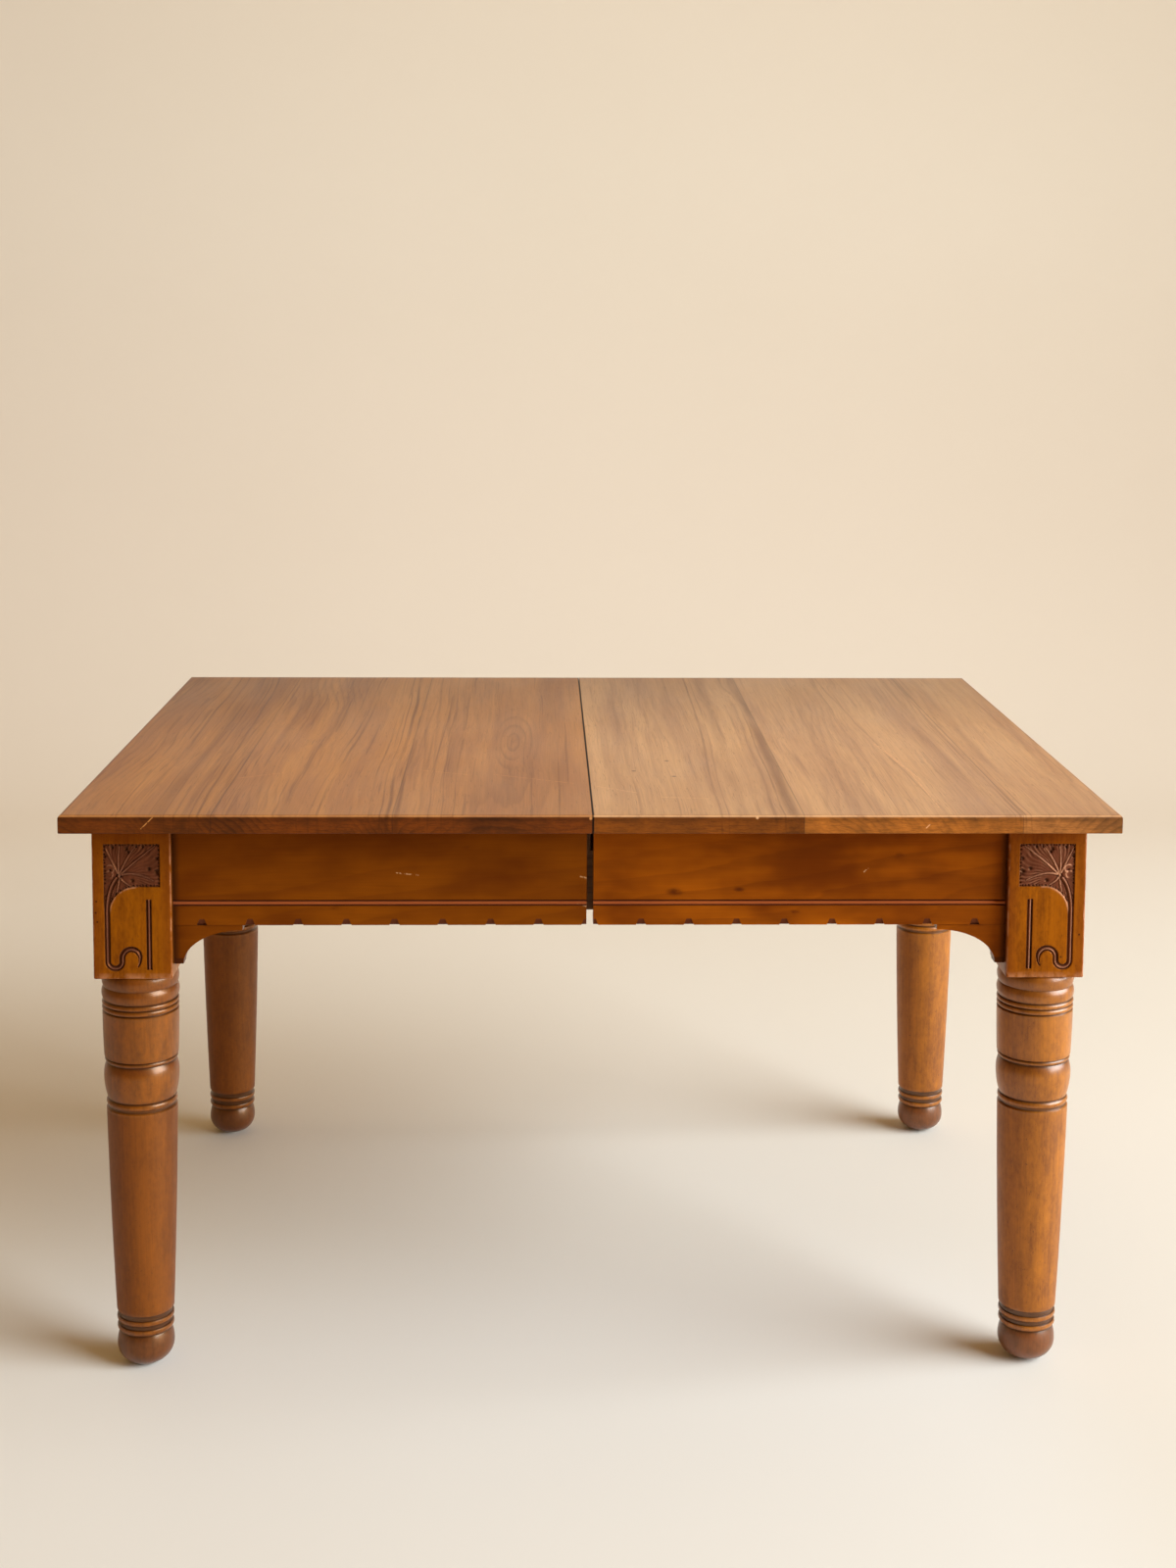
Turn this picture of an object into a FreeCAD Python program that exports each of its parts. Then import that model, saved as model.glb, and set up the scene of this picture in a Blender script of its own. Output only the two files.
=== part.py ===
import FreeCAD, Part
import os

Vector = FreeCAD.Vector
ORIGIN = Vector(0, 0, 0)
ALONG_X = Vector(1, 0, 0)
ALONG_Y = Vector(0, 1, 0)
ALONG_Z = Vector(0, 0, 1)

# Whole table, in millimetres, standing on the floor with its seam at x = 0 and its front at -y
table_height = 760.0
top_length = 1328.0
top_depth = 1015.0
end_overhang = 29.0
side_overhang = 57.5

# Top boards, with widths counted from the seam
top_thickness = 23.5
seam_gap = 0.8
left_seam_board_width = 250.0
left_middle_board_width = 225.0
right_seam_board_width = 264.0
right_middle_board_width = 275.0
top_arris = 4.5
underside_arris = 1.5

# Dowels that line up the two half tops
dowel_radius = 4.0
dowel_length = 40.0
dowel_seat_depth = 24.0
dowel_clearance = 0.35
dowel_end_clearance = 1.0
dowel_place_shares = (-0.36, 0.0, 0.36)

# Leg blocks
block_size = 100.0
block_length = 203.5
block_arris = 2.0
turning_root = 12.0

# Turned stretches of a leg, from the block down
neck_length = 53.5
neck_radius = 50.0
drum_length = 59.0
drum_radius = 49.2
drum_ring_length = 8.0
drum_ring_radius = 47.7
bulb_length = 46.0
bulb_radius = 48.4
bulb_ring_length = 16.0
bulb_ring_radius = 45.6
taper_radius = 45.7
ankle_length = 29.0
ankle_radius = 37.2
ball_length = 43.5
ball_radius = 37.1

# Each row of a turned stretch: how far down it, the radius there, and the swell of the curve that ends there
root_radius_share = 0.94
neck_shares = (
    (0.361, 0.952, 0.13),
    (0.697, 0.950, 0.14),
    (0.830, 0.946, 0.31),
    (0.964, 0.944, 0.31),
    (1.0, 0.984, 0.0),
)
drum_shares = ((1.0, 0.970, 0.012),)
drum_ring_shares = (
    (0.24, 0.958, 0.0),
    (0.80, 0.958, 0.30),
    (1.0, 0.938, 0.0),
)
bulb_shares = (
    (0.36, 1.0, 0.057),
    (1.0, 0.920, 0.034),
)
bulb_ring_shares = (
    (0.17, 0.947, 0.0),
    (0.72, 0.947, 0.27),
    (0.85, 0.943, 0.0),
    (1.0, 1.0, 0.0),
)
taper_shares = ((1.0, 0.814, 0.003),)
ankle_shares = (
    (0.26, 0.940, -0.12),
    (0.28, 0.985, 0.0),
    (0.465, 0.985, 0.10),
    (0.69, 0.925, -0.12),
    (0.71, 0.975, 0.0),
    (0.90, 0.968, 0.12),
    (1.0, 0.905, 0.0),
)
ball_shares = (
    (0.437, 1.0, 0.045),
    (1.0, 0.540, 0.157),
)

# Glide pads under the ball feet
glide_radius = 13.0
glide_thickness = 3.5

# Sunk ground of the carving on the two outer faces of each block
carving_depth = 3.0
panel_margin = 15.0
panel_drop = 28.5
panel_height = 55.0
panel_flat = 30.0
stem_width = 7.0
stem_foot_drop = 180.5
stem_turn_radius = 9.0
hook_radius = 11.5
hook_rise = 4.5
hook_tip_drop = 11.0
hook_tip_inset = 2.5
reed_width = 7.5
reed_margin = 25.0
reed_drop = 99.5
reed_length = 92.0

# Aprons
apron_height = 137.0
apron_thickness = 25.0
apron_setback = 14.0
left_apron_seam_gap = 6.0
right_apron_seam_gap = 2.6
tenon_length = 40.0
tenon_thickness = 10.0
tenon_shoulder = 25.0
mortise_fit = 0.15

# Nib at the top of the left aprons' seam end
nib_length = 5.2
nib_height = 10.0

# Bead run along the aprons between two grooves
bead_place = 29.0
bead_half_width = 2.6
bead_groove_width = 1.8
bead_groove_depth = 2.4

# Chip cuts along the aprons' lower edge
chip_pitch = 61.6
chip_width = 13.0
chip_top_width = 6.0
chip_height = 8.5
chip_depth = 3.5
chip_top_depth = 0.5
chip_end_margin = 30.0

# Brackets under the aprons
bracket_length = 88.0
bracket_drop = 51.0
bracket_thickness = 21.0
bracket_setback = 2.0
bracket_tip = 7.0
bracket_foot = 12.0

# Slide runners
runner_height = 78.0
runner_thickness = 28.0
runner_end_clearance = 5.0
runner_gap = 0.6
runner_apron_gap = 2.0
runner_lift = 1.5
slide_travel = 500.0

# Dovetail tongues and the grooves that they run in
tongue_root_width = 16.0
tongue_tip_width = 22.0
tongue_depth = 10.0
tongue_clearance = 0.4
tongue_end_inset = 2.0

# Pegs that stop the tongues
peg_radius = 4.0
peg_inset = 12.0
peg_cover = 8.0
peg_fit = 0.05
stop_gap = 0.5

# Battens between the runners and the top
batten_height = 46.5
batten_seam_inset = 1.0

# Rails that tie the two middle runners
rail_thickness = 10.5
rail_width = 60.0
rail_place = 260.0

# Glue blocks between aprons and top
glue_block_side = 28.0
glue_block_length = 60.0
end_glue_block_shares = (-0.5, 0.0, 0.5)
side_glue_block_shares = (0.28, 0.70)

# Screws
screw_shank_radius = 2.2
screw_head_radius = 4.6
screw_head_height = 4.0
screw_fit = 0.1
batten_screw_length = 44.0
batten_screw_bite = 14.0
batten_screw_shares = (0.08, 0.36, 0.64, 0.92)
runner_screw_length = 50.0
runner_screw_bite = 15.0
runner_screw_inset = 9.0
runner_screw_shares = (0.20, 0.50, 0.80)
rail_screw_length = 26.0
rail_screw_spread_shares = (-0.25, 0.25)

# Cuts run past the faces that they open
overrun = 5.0

# Heights and planes worked out from the sizes above
underside = table_height - top_thickness
block_bottom = underside - block_length
leg_x = top_length / 2 - end_overhang - block_size / 2
leg_y = top_depth / 2 - side_overhang - block_size / 2
block_outer_x = leg_x + block_size / 2
block_outer_y = leg_y + block_size / 2
block_inner_x = leg_x - block_size / 2
block_inner_y = leg_y - block_size / 2
taper_length = (
    block_bottom - glide_thickness - neck_length - drum_length - drum_ring_length
    - bulb_length - bulb_ring_length - ankle_length - ball_length
)
apron_bottom = underside - apron_height
side_apron_front = block_outer_y - apron_setback
end_apron_front = block_outer_x - apron_setback
side_apron_back = side_apron_front - apron_thickness
end_apron_back = end_apron_front - apron_thickness
runner_top = underside - batten_height
runner_bottom = runner_top - runner_height
runner_middle = runner_top - runner_height / 2
runner_half_length = block_inner_x - runner_end_clearance
outer_runner_y = side_apron_back - runner_apron_gap
middle_runner_y = outer_runner_y - runner_thickness - runner_gap
inner_runner_y = middle_runner_y - runner_thickness - runner_gap
peg_x = runner_half_length - peg_inset
tongue_end_x = peg_x - peg_radius - stop_gap - slide_travel


def box(x0, x1, y0, y1, z0, z1):
    """A box between two corners."""
    return Part.makeBox(x1 - x0, y1 - y0, z1 - z0, Vector(x0, y0, z0))


def rod(radius, start, end):
    """A round bar from one point to another."""
    run = end - start
    return Part.makeCylinder(radius, run.Length, start, run)


def prism(points, run):
    """A closed outline of straight sides, drawn out along a vector."""
    return Part.Face(Part.makePolygon(points + points[:1])).extrude(run)


def outline_prism(edges, run):
    """A closed outline of lines and arcs, drawn out along a vector."""
    return Part.Face(Part.Wire(edges)).extrude(run)


def line(start, end):
    return Part.LineSegment(start, end).toShape()


def arc(start, middle, end):
    return Part.Arc(start, middle, end).toShape()


def to_back(shape):
    """The same piece at the back of the table."""
    return shape.mirror(ORIGIN, ALONG_Y)


def to_right(shape):
    """The same piece at the right end of the table."""
    return shape.mirror(ORIGIN, ALONG_X)


# Screws and their holes, all driven upwards
def screw(x, y, head_z, length):
    head = rod(screw_head_radius, Vector(x, y, head_z - screw_head_height), Vector(x, y, head_z))
    shank = rod(screw_shank_radius, Vector(x, y, head_z), Vector(x, y, head_z + length))
    return head.fuse(shank).removeSplitter()


def screw_hole(x, y, mouth_z, head_z, length):
    bore_radius = screw_head_radius + screw_fit
    shank_radius = screw_shank_radius + screw_fit
    bore = rod(bore_radius, Vector(x, y, mouth_z - overrun), Vector(x, y, head_z))
    shank = rod(shank_radius, Vector(x, y, head_z), Vector(x, y, head_z + length + screw_fit))
    return bore.fuse(shank)


batten_screw_head = underside + batten_screw_bite - batten_screw_length
runner_screw_head = runner_top + runner_screw_bite - runner_screw_length
rail_bottom = runner_bottom - rail_thickness
rail_screw_head = rail_bottom + screw_head_height
batten_length = runner_half_length - batten_seam_inset


def front_and_back(outer_y, inset):
    """The two rows that lie an inset behind a runner's or batten's outer face, at the front and the back."""
    return (inset - outer_y, outer_y - inset)


def batten_places(side, shares):
    """Places along a half's battens: side is -1 on the left and 1 on the right."""
    return [side * (batten_seam_inset + batten_length * share) for share in shares]


def batten_screws(side, outer_y):
    rows = front_and_back(outer_y, runner_thickness / 2)
    places = [(x, y) for x in batten_places(side, batten_screw_shares) for y in rows]
    screws = [screw(x, y, batten_screw_head, batten_screw_length) for x, y in places]
    holes = [screw_hole(x, y, runner_top, batten_screw_head, batten_screw_length) for x, y in places]
    return screws, holes


def runner_screws(side, outer_y):
    rows = front_and_back(outer_y, runner_screw_inset)
    places = [(x, y) for x in batten_places(side, runner_screw_shares) for y in rows]
    screws = [screw(x, y, runner_screw_head, runner_screw_length) for x, y in places]
    holes = [screw_hole(x, y, runner_bottom, runner_screw_head, runner_screw_length) for x, y in places]
    return screws, holes


# Top boards
dowel_z = underside + top_thickness / 2
dowel_tip_x = seam_gap / 2 + dowel_seat_depth - dowel_length


def half_top():
    """The left half of the top, with its worn arrises, before it is parted into boards."""
    slab = box(-top_length / 2, -seam_gap / 2, -top_depth / 2, top_depth / 2, underside, table_height)
    outer = [edge for edge in slab.Edges if edge.BoundBox.XMin < -seam_gap]
    upper = [edge for edge in outer if edge.BoundBox.ZMin > dowel_z]
    lower = [edge for edge in outer if edge.BoundBox.ZMax < dowel_z]
    return slab.makeFillet(top_arris, upper).makeFillet(underside_arris, lower)


def boards(slab, side, widths, holes):
    """Parts a half top into boards, from the seam outwards."""
    made = []
    start = 0.0
    for width in widths + (top_length,):
        ends = sorted((side * start, side * (start + width)))
        cell = box(ends[0], ends[1], -top_depth, top_depth, 0, table_height + overrun)
        made.append(slab.common(cell).cut(holes))
        start += width
    return made


def dowels():
    starts = [Vector(dowel_tip_x, top_depth * share, dowel_z) for share in dowel_place_shares]
    return [rod(dowel_radius, start, start + ALONG_X * dowel_length) for start in starts]


def dowel_holes():
    """Loose holes in the left seam edge, where the dowels enter as the table closes."""
    radius = dowel_radius + dowel_clearance
    tip_x = dowel_tip_x - dowel_end_clearance
    starts = [Vector(tip_x, top_depth * share, dowel_z) for share in dowel_place_shares]
    return [rod(radius, start, Vector(overrun, start.y, start.z)) for start in starts]


# Legs, drawn at the front left corner
def turned_edge(start, end, swell):
    """One curve of the turning's outline; a positive swell bulges, a negative one hollows."""
    if swell == 0:
        return line(start, end)
    chord = end - start
    outward = Vector(-chord.z, 0, chord.x)
    return arc(start, start + chord / 2 + outward * swell, end)


def turning():
    stretches = (
        (neck_length, neck_radius, neck_shares),
        (drum_length, drum_radius, drum_shares),
        (drum_ring_length, drum_ring_radius, drum_ring_shares),
        (bulb_length, bulb_radius, bulb_shares),
        (bulb_ring_length, bulb_ring_radius, bulb_ring_shares),
        (taper_length, taper_radius, taper_shares),
        (ankle_length, ankle_radius, ankle_shares),
        (ball_length, ball_radius, ball_shares),
    )
    root = Vector(neck_radius * root_radius_share, 0, block_bottom + turning_root)
    last = Vector(root.x, 0, block_bottom)
    edges = [line(Vector(0, 0, root.z), root), line(root, last)]
    z = block_bottom
    for length, radius, shares in stretches:
        for down_share, radius_share, swell_share in shares:
            end = Vector(radius * radius_share, 0, z - length * down_share)
            edges.append(turned_edge(last, end, swell_share))
            last = end
        z -= length
    edges.append(line(last, Vector(0, 0, last.z)))
    edges.append(line(Vector(0, 0, last.z), Vector(0, 0, root.z)))
    return Part.Face(Part.Wire(edges)).revolve(ORIGIN, ALONG_Z)


def carving_point(across, height):
    """A point of the carving, from the outer edge of the block's front face."""
    return Vector(-block_outer_x + across, -block_outer_y - overrun, height)


def half_ring(centre, height, radius, width, way):
    """Half of a round channel: way is 1 for an arch and -1 for a hanging loop."""
    outer = radius + width / 2
    inner = radius - width / 2
    edges = (
        arc(
            carving_point(centre - outer, height),
            carving_point(centre, height + way * outer),
            carving_point(centre + outer, height),
        ),
        line(carving_point(centre + outer, height), carving_point(centre + inner, height)),
        arc(
            carving_point(centre + inner, height),
            carving_point(centre, height + way * inner),
            carving_point(centre - inner, height),
        ),
        line(carving_point(centre - inner, height), carving_point(centre - outer, height)),
    )
    return edges


def carving():
    """The sunk ground of one carved face: a leaf panel, its hooked stem and a reeded groove."""
    sink = ALONG_Y * (overrun + carving_depth)
    panel_top = underside - panel_drop
    panel_low = panel_top - panel_height
    panel_inner = block_size - panel_margin
    stem_inner = panel_margin + stem_width
    sweep = panel_inner - panel_flat - stem_inner
    sweep_mid_share = 0.5 ** 0.5
    stem_top = panel_low - sweep
    sweep_mid = carving_point(
        stem_inner + sweep - sweep * sweep_mid_share, stem_top + sweep * sweep_mid_share
    )
    corners = (
        carving_point(panel_margin, stem_top),
        carving_point(panel_margin, panel_top),
        carving_point(panel_inner, panel_top),
        carving_point(panel_inner, panel_low),
        carving_point(stem_inner + sweep, panel_low),
        carving_point(stem_inner, stem_top),
    )
    panel_edges = [line(a, b) for a, b in zip(corners[:4], corners[1:5])]
    panel_edges.append(arc(corners[4], sweep_mid, corners[5]))
    panel_edges.append(line(corners[5], corners[0]))
    stem_foot = underside - stem_foot_drop
    turn_centre = panel_margin + stem_width / 2 + stem_turn_radius
    limb = turn_centre + stem_turn_radius
    hook_centre = limb + hook_radius
    hook_foot = stem_foot + hook_rise
    hook_end = hook_centre + hook_radius
    stem = (
        carving_point(panel_margin, stem_foot),
        carving_point(panel_margin, stem_top),
        carving_point(stem_inner, stem_top),
        carving_point(stem_inner, stem_foot),
    )
    limb_points = (
        carving_point(limb - stem_width / 2, stem_foot),
        carving_point(limb - stem_width / 2, hook_foot),
        carving_point(limb + stem_width / 2, hook_foot),
        carving_point(limb + stem_width / 2, stem_foot),
    )
    tip = (
        carving_point(hook_end - stem_width / 2, hook_foot),
        carving_point(hook_end + stem_width / 2, hook_foot),
        carving_point(hook_end - hook_tip_inset, hook_foot - hook_tip_drop),
    )
    reed_inner = block_size - reed_margin
    reed_top = underside - reed_drop
    reed = (
        carving_point(reed_inner - reed_width, reed_top - reed_length),
        carving_point(reed_inner - reed_width, reed_top),
        carving_point(reed_inner, reed_top),
        carving_point(reed_inner, reed_top - reed_length),
    )
    return [
        outline_prism(panel_edges, sink),
        prism(list(stem), sink),
        outline_prism(half_ring(turn_centre, stem_foot, stem_turn_radius, stem_width, -1), sink),
        prism(list(limb_points), sink),
        outline_prism(half_ring(hook_centre, hook_foot, hook_radius, stem_width, 1), sink),
        prism(list(tip), sink),
        prism(list(reed), sink),
    ]


def mortises():
    """Sockets for the side apron's tenon and the end apron's tenon."""
    half = tenon_thickness / 2 + mortise_fit
    reach = tenon_length + mortise_fit
    low = apron_bottom + tenon_shoulder - mortise_fit
    high = underside - tenon_shoulder + mortise_fit
    side_y = -side_apron_front + apron_thickness / 2
    end_x = -end_apron_front + apron_thickness / 2
    side = box(-block_inner_x - reach, -block_inner_x + overrun, side_y - half, side_y + half, low, high)
    end = box(end_x - half, end_x + half, -block_inner_y - reach, -block_inner_y + overrun, low, high)
    return [side, end]


def leg():
    block = box(
        -block_outer_x, -block_inner_x, -block_outer_y, -block_inner_y, block_bottom, underside
    )
    worn = [edge for edge in block.Edges if edge.BoundBox.ZMin < underside - block_arris]
    block = block.makeFillet(block_arris, worn)
    turned = turning()
    turned.translate(Vector(-leg_x, -leg_y, 0))
    front_carving = carving()
    corner = Vector(-block_outer_x, -block_outer_y, 0)
    end_carving = [cut.mirror(corner, ALONG_X - ALONG_Y) for cut in front_carving]
    return block.fuse(turned).removeSplitter().cut(front_carving + end_carving + mortises())


def glide():
    return rod(glide_radius, Vector(-leg_x, -leg_y, 0), Vector(-leg_x, -leg_y, glide_thickness))


# Aprons, drawn with their face towards -y
def rectangle(x0, x1, y0, y1, z):
    corners = [Vector(x0, y0, z), Vector(x1, y0, z), Vector(x1, y1, z), Vector(x0, y1, z)]
    return Part.makePolygon(corners + corners[:1])


def chip(x, front):
    """A wedge that opens towards the lower edge and runs out on the face."""
    low = rectangle(
        x - chip_width / 2, x + chip_width / 2, -front - overrun, -front + chip_depth, apron_bottom
    )
    high = rectangle(
        x - chip_top_width / 2, x + chip_top_width / 2,
        -front - overrun, -front + chip_top_depth, apron_bottom + chip_height
    )
    return Part.makeLoft([low, high], True, True)


def apron(front, start, end, chip_places, tenon_ends):
    """A board with a bead on its face, chips on its lower edge and a tenon at each named end."""
    bead_z = apron_bottom + bead_place
    groove_y = -front + bead_groove_depth
    low_groove = bead_z - bead_half_width - bead_groove_width
    high_groove = bead_z + bead_half_width + bead_groove_width
    corners = (
        Vector(start, -front, high_groove),
        Vector(start, -front, underside),
        Vector(start, -front + apron_thickness, underside),
        Vector(start, -front + apron_thickness, apron_bottom),
        Vector(start, -front, apron_bottom),
        Vector(start, -front, low_groove),
        Vector(start, groove_y, bead_z - bead_half_width),
    )
    bead_end = Vector(start, groove_y, bead_z + bead_half_width)
    edges = [line(a, b) for a, b in zip(corners[:6], corners[1:])]
    edges.append(arc(corners[6], Vector(start, -front, bead_z), bead_end))
    edges.append(line(bead_end, corners[0]))
    body = outline_prism(edges, ALONG_X * (end - start))
    body = body.cut([chip(x, front) for x in chip_places])
    middle = -front + apron_thickness / 2
    for place, way in tenon_ends:
        reach = sorted((place, place + way * tenon_length))
        tenon = box(
            reach[0], reach[1], middle - tenon_thickness / 2, middle + tenon_thickness / 2,
            apron_bottom + tenon_shoulder, underside - tenon_shoulder
        )
        body = body.fuse(tenon)
    return body.removeSplitter()


def side_apron(seam_end_gap):
    """The left front apron, from its leg to its end beside the seam."""
    run = block_inner_x - seam_end_gap
    count = int((run - chip_end_margin) // chip_pitch)
    places = [-seam_end_gap - chip_pitch * step for step in range(count + 1)]
    return apron(side_apron_front, -block_inner_x, -seam_end_gap, places, [(-block_inner_x, -1)])


def nib():
    """A small tongue that closes the gap at the top of the left aprons."""
    return box(
        -left_apron_seam_gap, -left_apron_seam_gap + nib_length,
        -side_apron_front, -side_apron_back, underside - nib_height, underside
    )


def end_apron():
    """The left end apron, drawn along x and then turned to face the end."""
    count = int((block_inner_y - chip_end_margin) // chip_pitch)
    places = [chip_pitch * step for step in range(-count, count + 1)]
    tenons = [(-block_inner_y, -1), (block_inner_y, 1)]
    body = apron(end_apron_front, -block_inner_y, block_inner_y, places, tenons)
    return body.rotate(ORIGIN, ALONG_Z, -90)


# Brackets, drawn under the left front apron
def bracket(front, inner):
    """A quarter-round hollow bracket between an apron's lower edge and a leg block."""
    face = -front + bracket_setback
    tip = -inner + bracket_length
    bow_width = bracket_length - bracket_foot
    bow_height = bracket_drop - bracket_tip
    bow_low = apron_bottom - bracket_drop
    centre = Vector(tip, face, bow_low)
    bow_start = Vector(tip, face, bow_low + bow_height)
    bow_end = Vector(tip - bow_width, face, bow_low)
    across = (bow_end, bow_start) if bow_width > bow_height else (bow_start, bow_end)
    ellipse = Part.Ellipse(across[0], across[1], centre)
    bow = Part.Arc(ellipse, ellipse.parameter(across[0]), ellipse.parameter(across[1])).toShape()
    corners = (
        bow_end,
        Vector(-inner, face, bow_low),
        Vector(-inner, face, apron_bottom),
        Vector(tip, face, apron_bottom),
        bow_start,
    )
    edges = [line(a, b) for a, b in zip(corners[:4], corners[1:])]
    edges.append(bow)
    return outline_prism(Part.__sortEdges__(edges), ALONG_Y * bracket_thickness)


def end_bracket():
    """The bracket under the left end apron, beside the back leg."""
    return bracket(end_apron_front, block_inner_y).rotate(ORIGIN, ALONG_Z, -90)


# Slide runners, drawn in the front set
def dovetail(face, way, clearance, start, end):
    """A bar of dovetail section that stands on a runner's face, or the space for it."""
    root = tongue_root_width / 2 + clearance
    tip = tongue_tip_width / 2 + clearance
    depth = way * (runner_gap + tongue_depth + clearance)
    points = [
        Vector(start, face, runner_middle - root),
        Vector(start, face, runner_middle + root),
        Vector(start, face + depth, runner_middle + tip),
        Vector(start, face + depth, runner_middle - tip),
    ]
    return prism(points, ALONG_X * (end - start))


def runner(outer_y, bottom):
    """A runner whose face towards the apron lies at outer_y."""
    return box(
        -runner_half_length, runner_half_length, -outer_y, -outer_y + runner_thickness, bottom, runner_top
    )


def groove(next_outer_y):
    """The space for the next runner's tongue, over the whole length of a runner."""
    reach = runner_half_length + overrun
    return dovetail(-next_outer_y, -1, tongue_clearance, -reach, reach)


def tongue(outer_y):
    return dovetail(-outer_y, -1, 0, -runner_half_length + tongue_end_inset, tongue_end_x)


def stop_peg(next_outer_y, fit):
    """A peg that stands across a groove near its right end, or the hole for it."""
    y = -next_outer_y - runner_gap - tongue_depth / 2
    top = runner_middle + tongue_tip_width / 2 + peg_cover
    return rod(peg_radius + fit, Vector(peg_x, y, runner_bottom), Vector(peg_x, y, top + fit))


def batten(outer_y, side):
    """A bar under the top that carries a runner."""
    ends = sorted((side * batten_seam_inset, side * runner_half_length))
    return box(ends[0], ends[1], -outer_y, -outer_y + runner_thickness, runner_top, underside)


def rail(x):
    """A flat bar under the front and back middle runners."""
    return box(
        x - rail_width / 2, x + rail_width / 2, -middle_runner_y, middle_runner_y, rail_bottom, runner_bottom
    )


# Glue blocks
def glue_block(start, run, inward):
    """A three-cornered block in the corner under the top: run is along it, inward from the apron."""
    points = [start, start + inward * glue_block_side, start - ALONG_Z * glue_block_side]
    return prism(points, run * glue_block_length)


def end_glue_blocks(side):
    starts = [
        Vector(side * end_apron_back, leg_y * share - glue_block_length / 2, underside)
        for share in end_glue_block_shares
    ]
    return [glue_block(start, ALONG_Y, ALONG_X * -side) for start in starts]


def side_glue_blocks():
    starts = [
        Vector(block_inner_x * share, -side_apron_back, underside) for share in side_glue_block_shares
    ]
    return [glue_block(start, ALONG_X, ALONG_Y) for start in starts]


parts = {}

# Left half
left_batten_screws, left_batten_holes = batten_screws(-1, outer_runner_y)
left_runner_screws, left_runner_holes = runner_screws(-1, outer_runner_y)
left_widths = (left_seam_board_width, left_middle_board_width)
left_boards = boards(half_top(), -1, left_widths, left_batten_holes + dowel_holes())
left_side_apron = side_apron(left_apron_seam_gap).fuse(nib()).removeSplitter()
outer_groove = groove(middle_runner_y)
outer_peg_hole = stop_peg(middle_runner_y, peg_fit)
left_runner = runner(outer_runner_y, runner_bottom).cut([outer_groove, outer_peg_hole])
left_peg = stop_peg(middle_runner_y, 0)
left_holes = left_batten_holes + left_runner_holes

parts["left_top_seam_board"] = left_boards[0]
parts["left_top_middle_board"] = left_boards[1]
parts["left_top_outer_board"] = left_boards[2]
parts["left_front_leg"] = leg()
parts["left_front_glide"] = glide()
parts["left_front_apron"] = left_side_apron
parts["left_end_apron"] = end_apron()
parts["left_front_bracket"] = bracket(side_apron_front, block_inner_x)
parts["left_end_front_bracket"] = to_back(end_bracket())
parts["left_end_back_bracket"] = end_bracket()
parts["left_front_batten"] = batten(outer_runner_y, -1).cut(left_holes)
parts["left_back_batten"] = to_back(batten(outer_runner_y, -1)).cut(left_holes)
parts["left_front_runner"] = left_runner.cut(left_runner_holes)
parts["left_back_runner"] = to_back(left_runner).cut(left_runner_holes)
parts["left_stop_pegs"] = Part.Compound([left_peg, to_back(left_peg)])
parts["left_glue_blocks"] = Part.Compound(end_glue_blocks(-1))
parts["left_batten_screws"] = Part.Compound(left_batten_screws)
parts["left_runner_screws"] = Part.Compound(left_runner_screws)
for piece in ("leg", "glide", "apron", "bracket"):
    parts["left_back_" + piece] = to_back(parts["left_front_" + piece])

# Right half
right_batten_screws, right_batten_holes = batten_screws(1, inner_runner_y)
right_runner_screws, right_runner_holes = runner_screws(1, inner_runner_y)
right_widths = (right_seam_board_width, right_middle_board_width)
right_boards = boards(to_right(half_top()), 1, right_widths, right_batten_holes + dowels())
right_runner = runner(inner_runner_y, runner_bottom + runner_lift)
front_glue_blocks = side_glue_blocks()
back_glue_blocks = [to_back(piece) for piece in front_glue_blocks]
right_holes = right_batten_holes + right_runner_holes

parts["right_top_seam_board"] = right_boards[0]
parts["right_top_middle_board"] = right_boards[1]
parts["right_top_outer_board"] = right_boards[2]
parts["right_front_apron"] = to_right(side_apron(right_apron_seam_gap))
parts["right_back_apron"] = to_back(parts["right_front_apron"])
parts["right_front_batten"] = batten(inner_runner_y, 1).cut(right_holes)
parts["right_back_batten"] = to_back(batten(inner_runner_y, 1)).cut(right_holes)
parts["right_front_runner"] = right_runner.cut(right_runner_holes)
parts["right_back_runner"] = to_back(right_runner).cut(right_runner_holes)
parts["right_front_tongue"] = tongue(inner_runner_y)
parts["right_back_tongue"] = to_back(tongue(inner_runner_y))
parts["right_glue_blocks"] = Part.Compound(end_glue_blocks(1) + front_glue_blocks + back_glue_blocks)
parts["right_batten_screws"] = Part.Compound(right_batten_screws)
parts["right_runner_screws"] = Part.Compound(right_runner_screws)
parts["seam_dowels"] = Part.Compound(dowels())
for piece in ("front_leg", "front_glide", "front_bracket", "back_leg", "back_glide", "back_bracket"):
    parts["right_" + piece] = to_right(parts["left_" + piece])
for piece in ("end_apron", "end_front_bracket", "end_back_bracket"):
    parts["right_" + piece] = to_right(parts["left_" + piece])

# Sliding frame between the halves
inner_groove = groove(inner_runner_y)
inner_peg_hole = stop_peg(inner_runner_y, peg_fit)
middle_runner = runner(middle_runner_y, runner_bottom).cut([inner_groove, inner_peg_hole])
middle_peg = stop_peg(inner_runner_y, 0)
rail_screw_y = middle_runner_y - runner_thickness / 2
rail_screw_places = [
    (side * rail_place + rail_width * share, y)
    for side in (-1, 1)
    for share in rail_screw_spread_shares
    for y in (-rail_screw_y, rail_screw_y)
]
rail_holes = [screw_hole(x, y, rail_bottom, rail_screw_head, rail_screw_length) for x, y in rail_screw_places]
rail_screws = [screw(x, y, rail_screw_head, rail_screw_length) for x, y in rail_screw_places]

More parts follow.
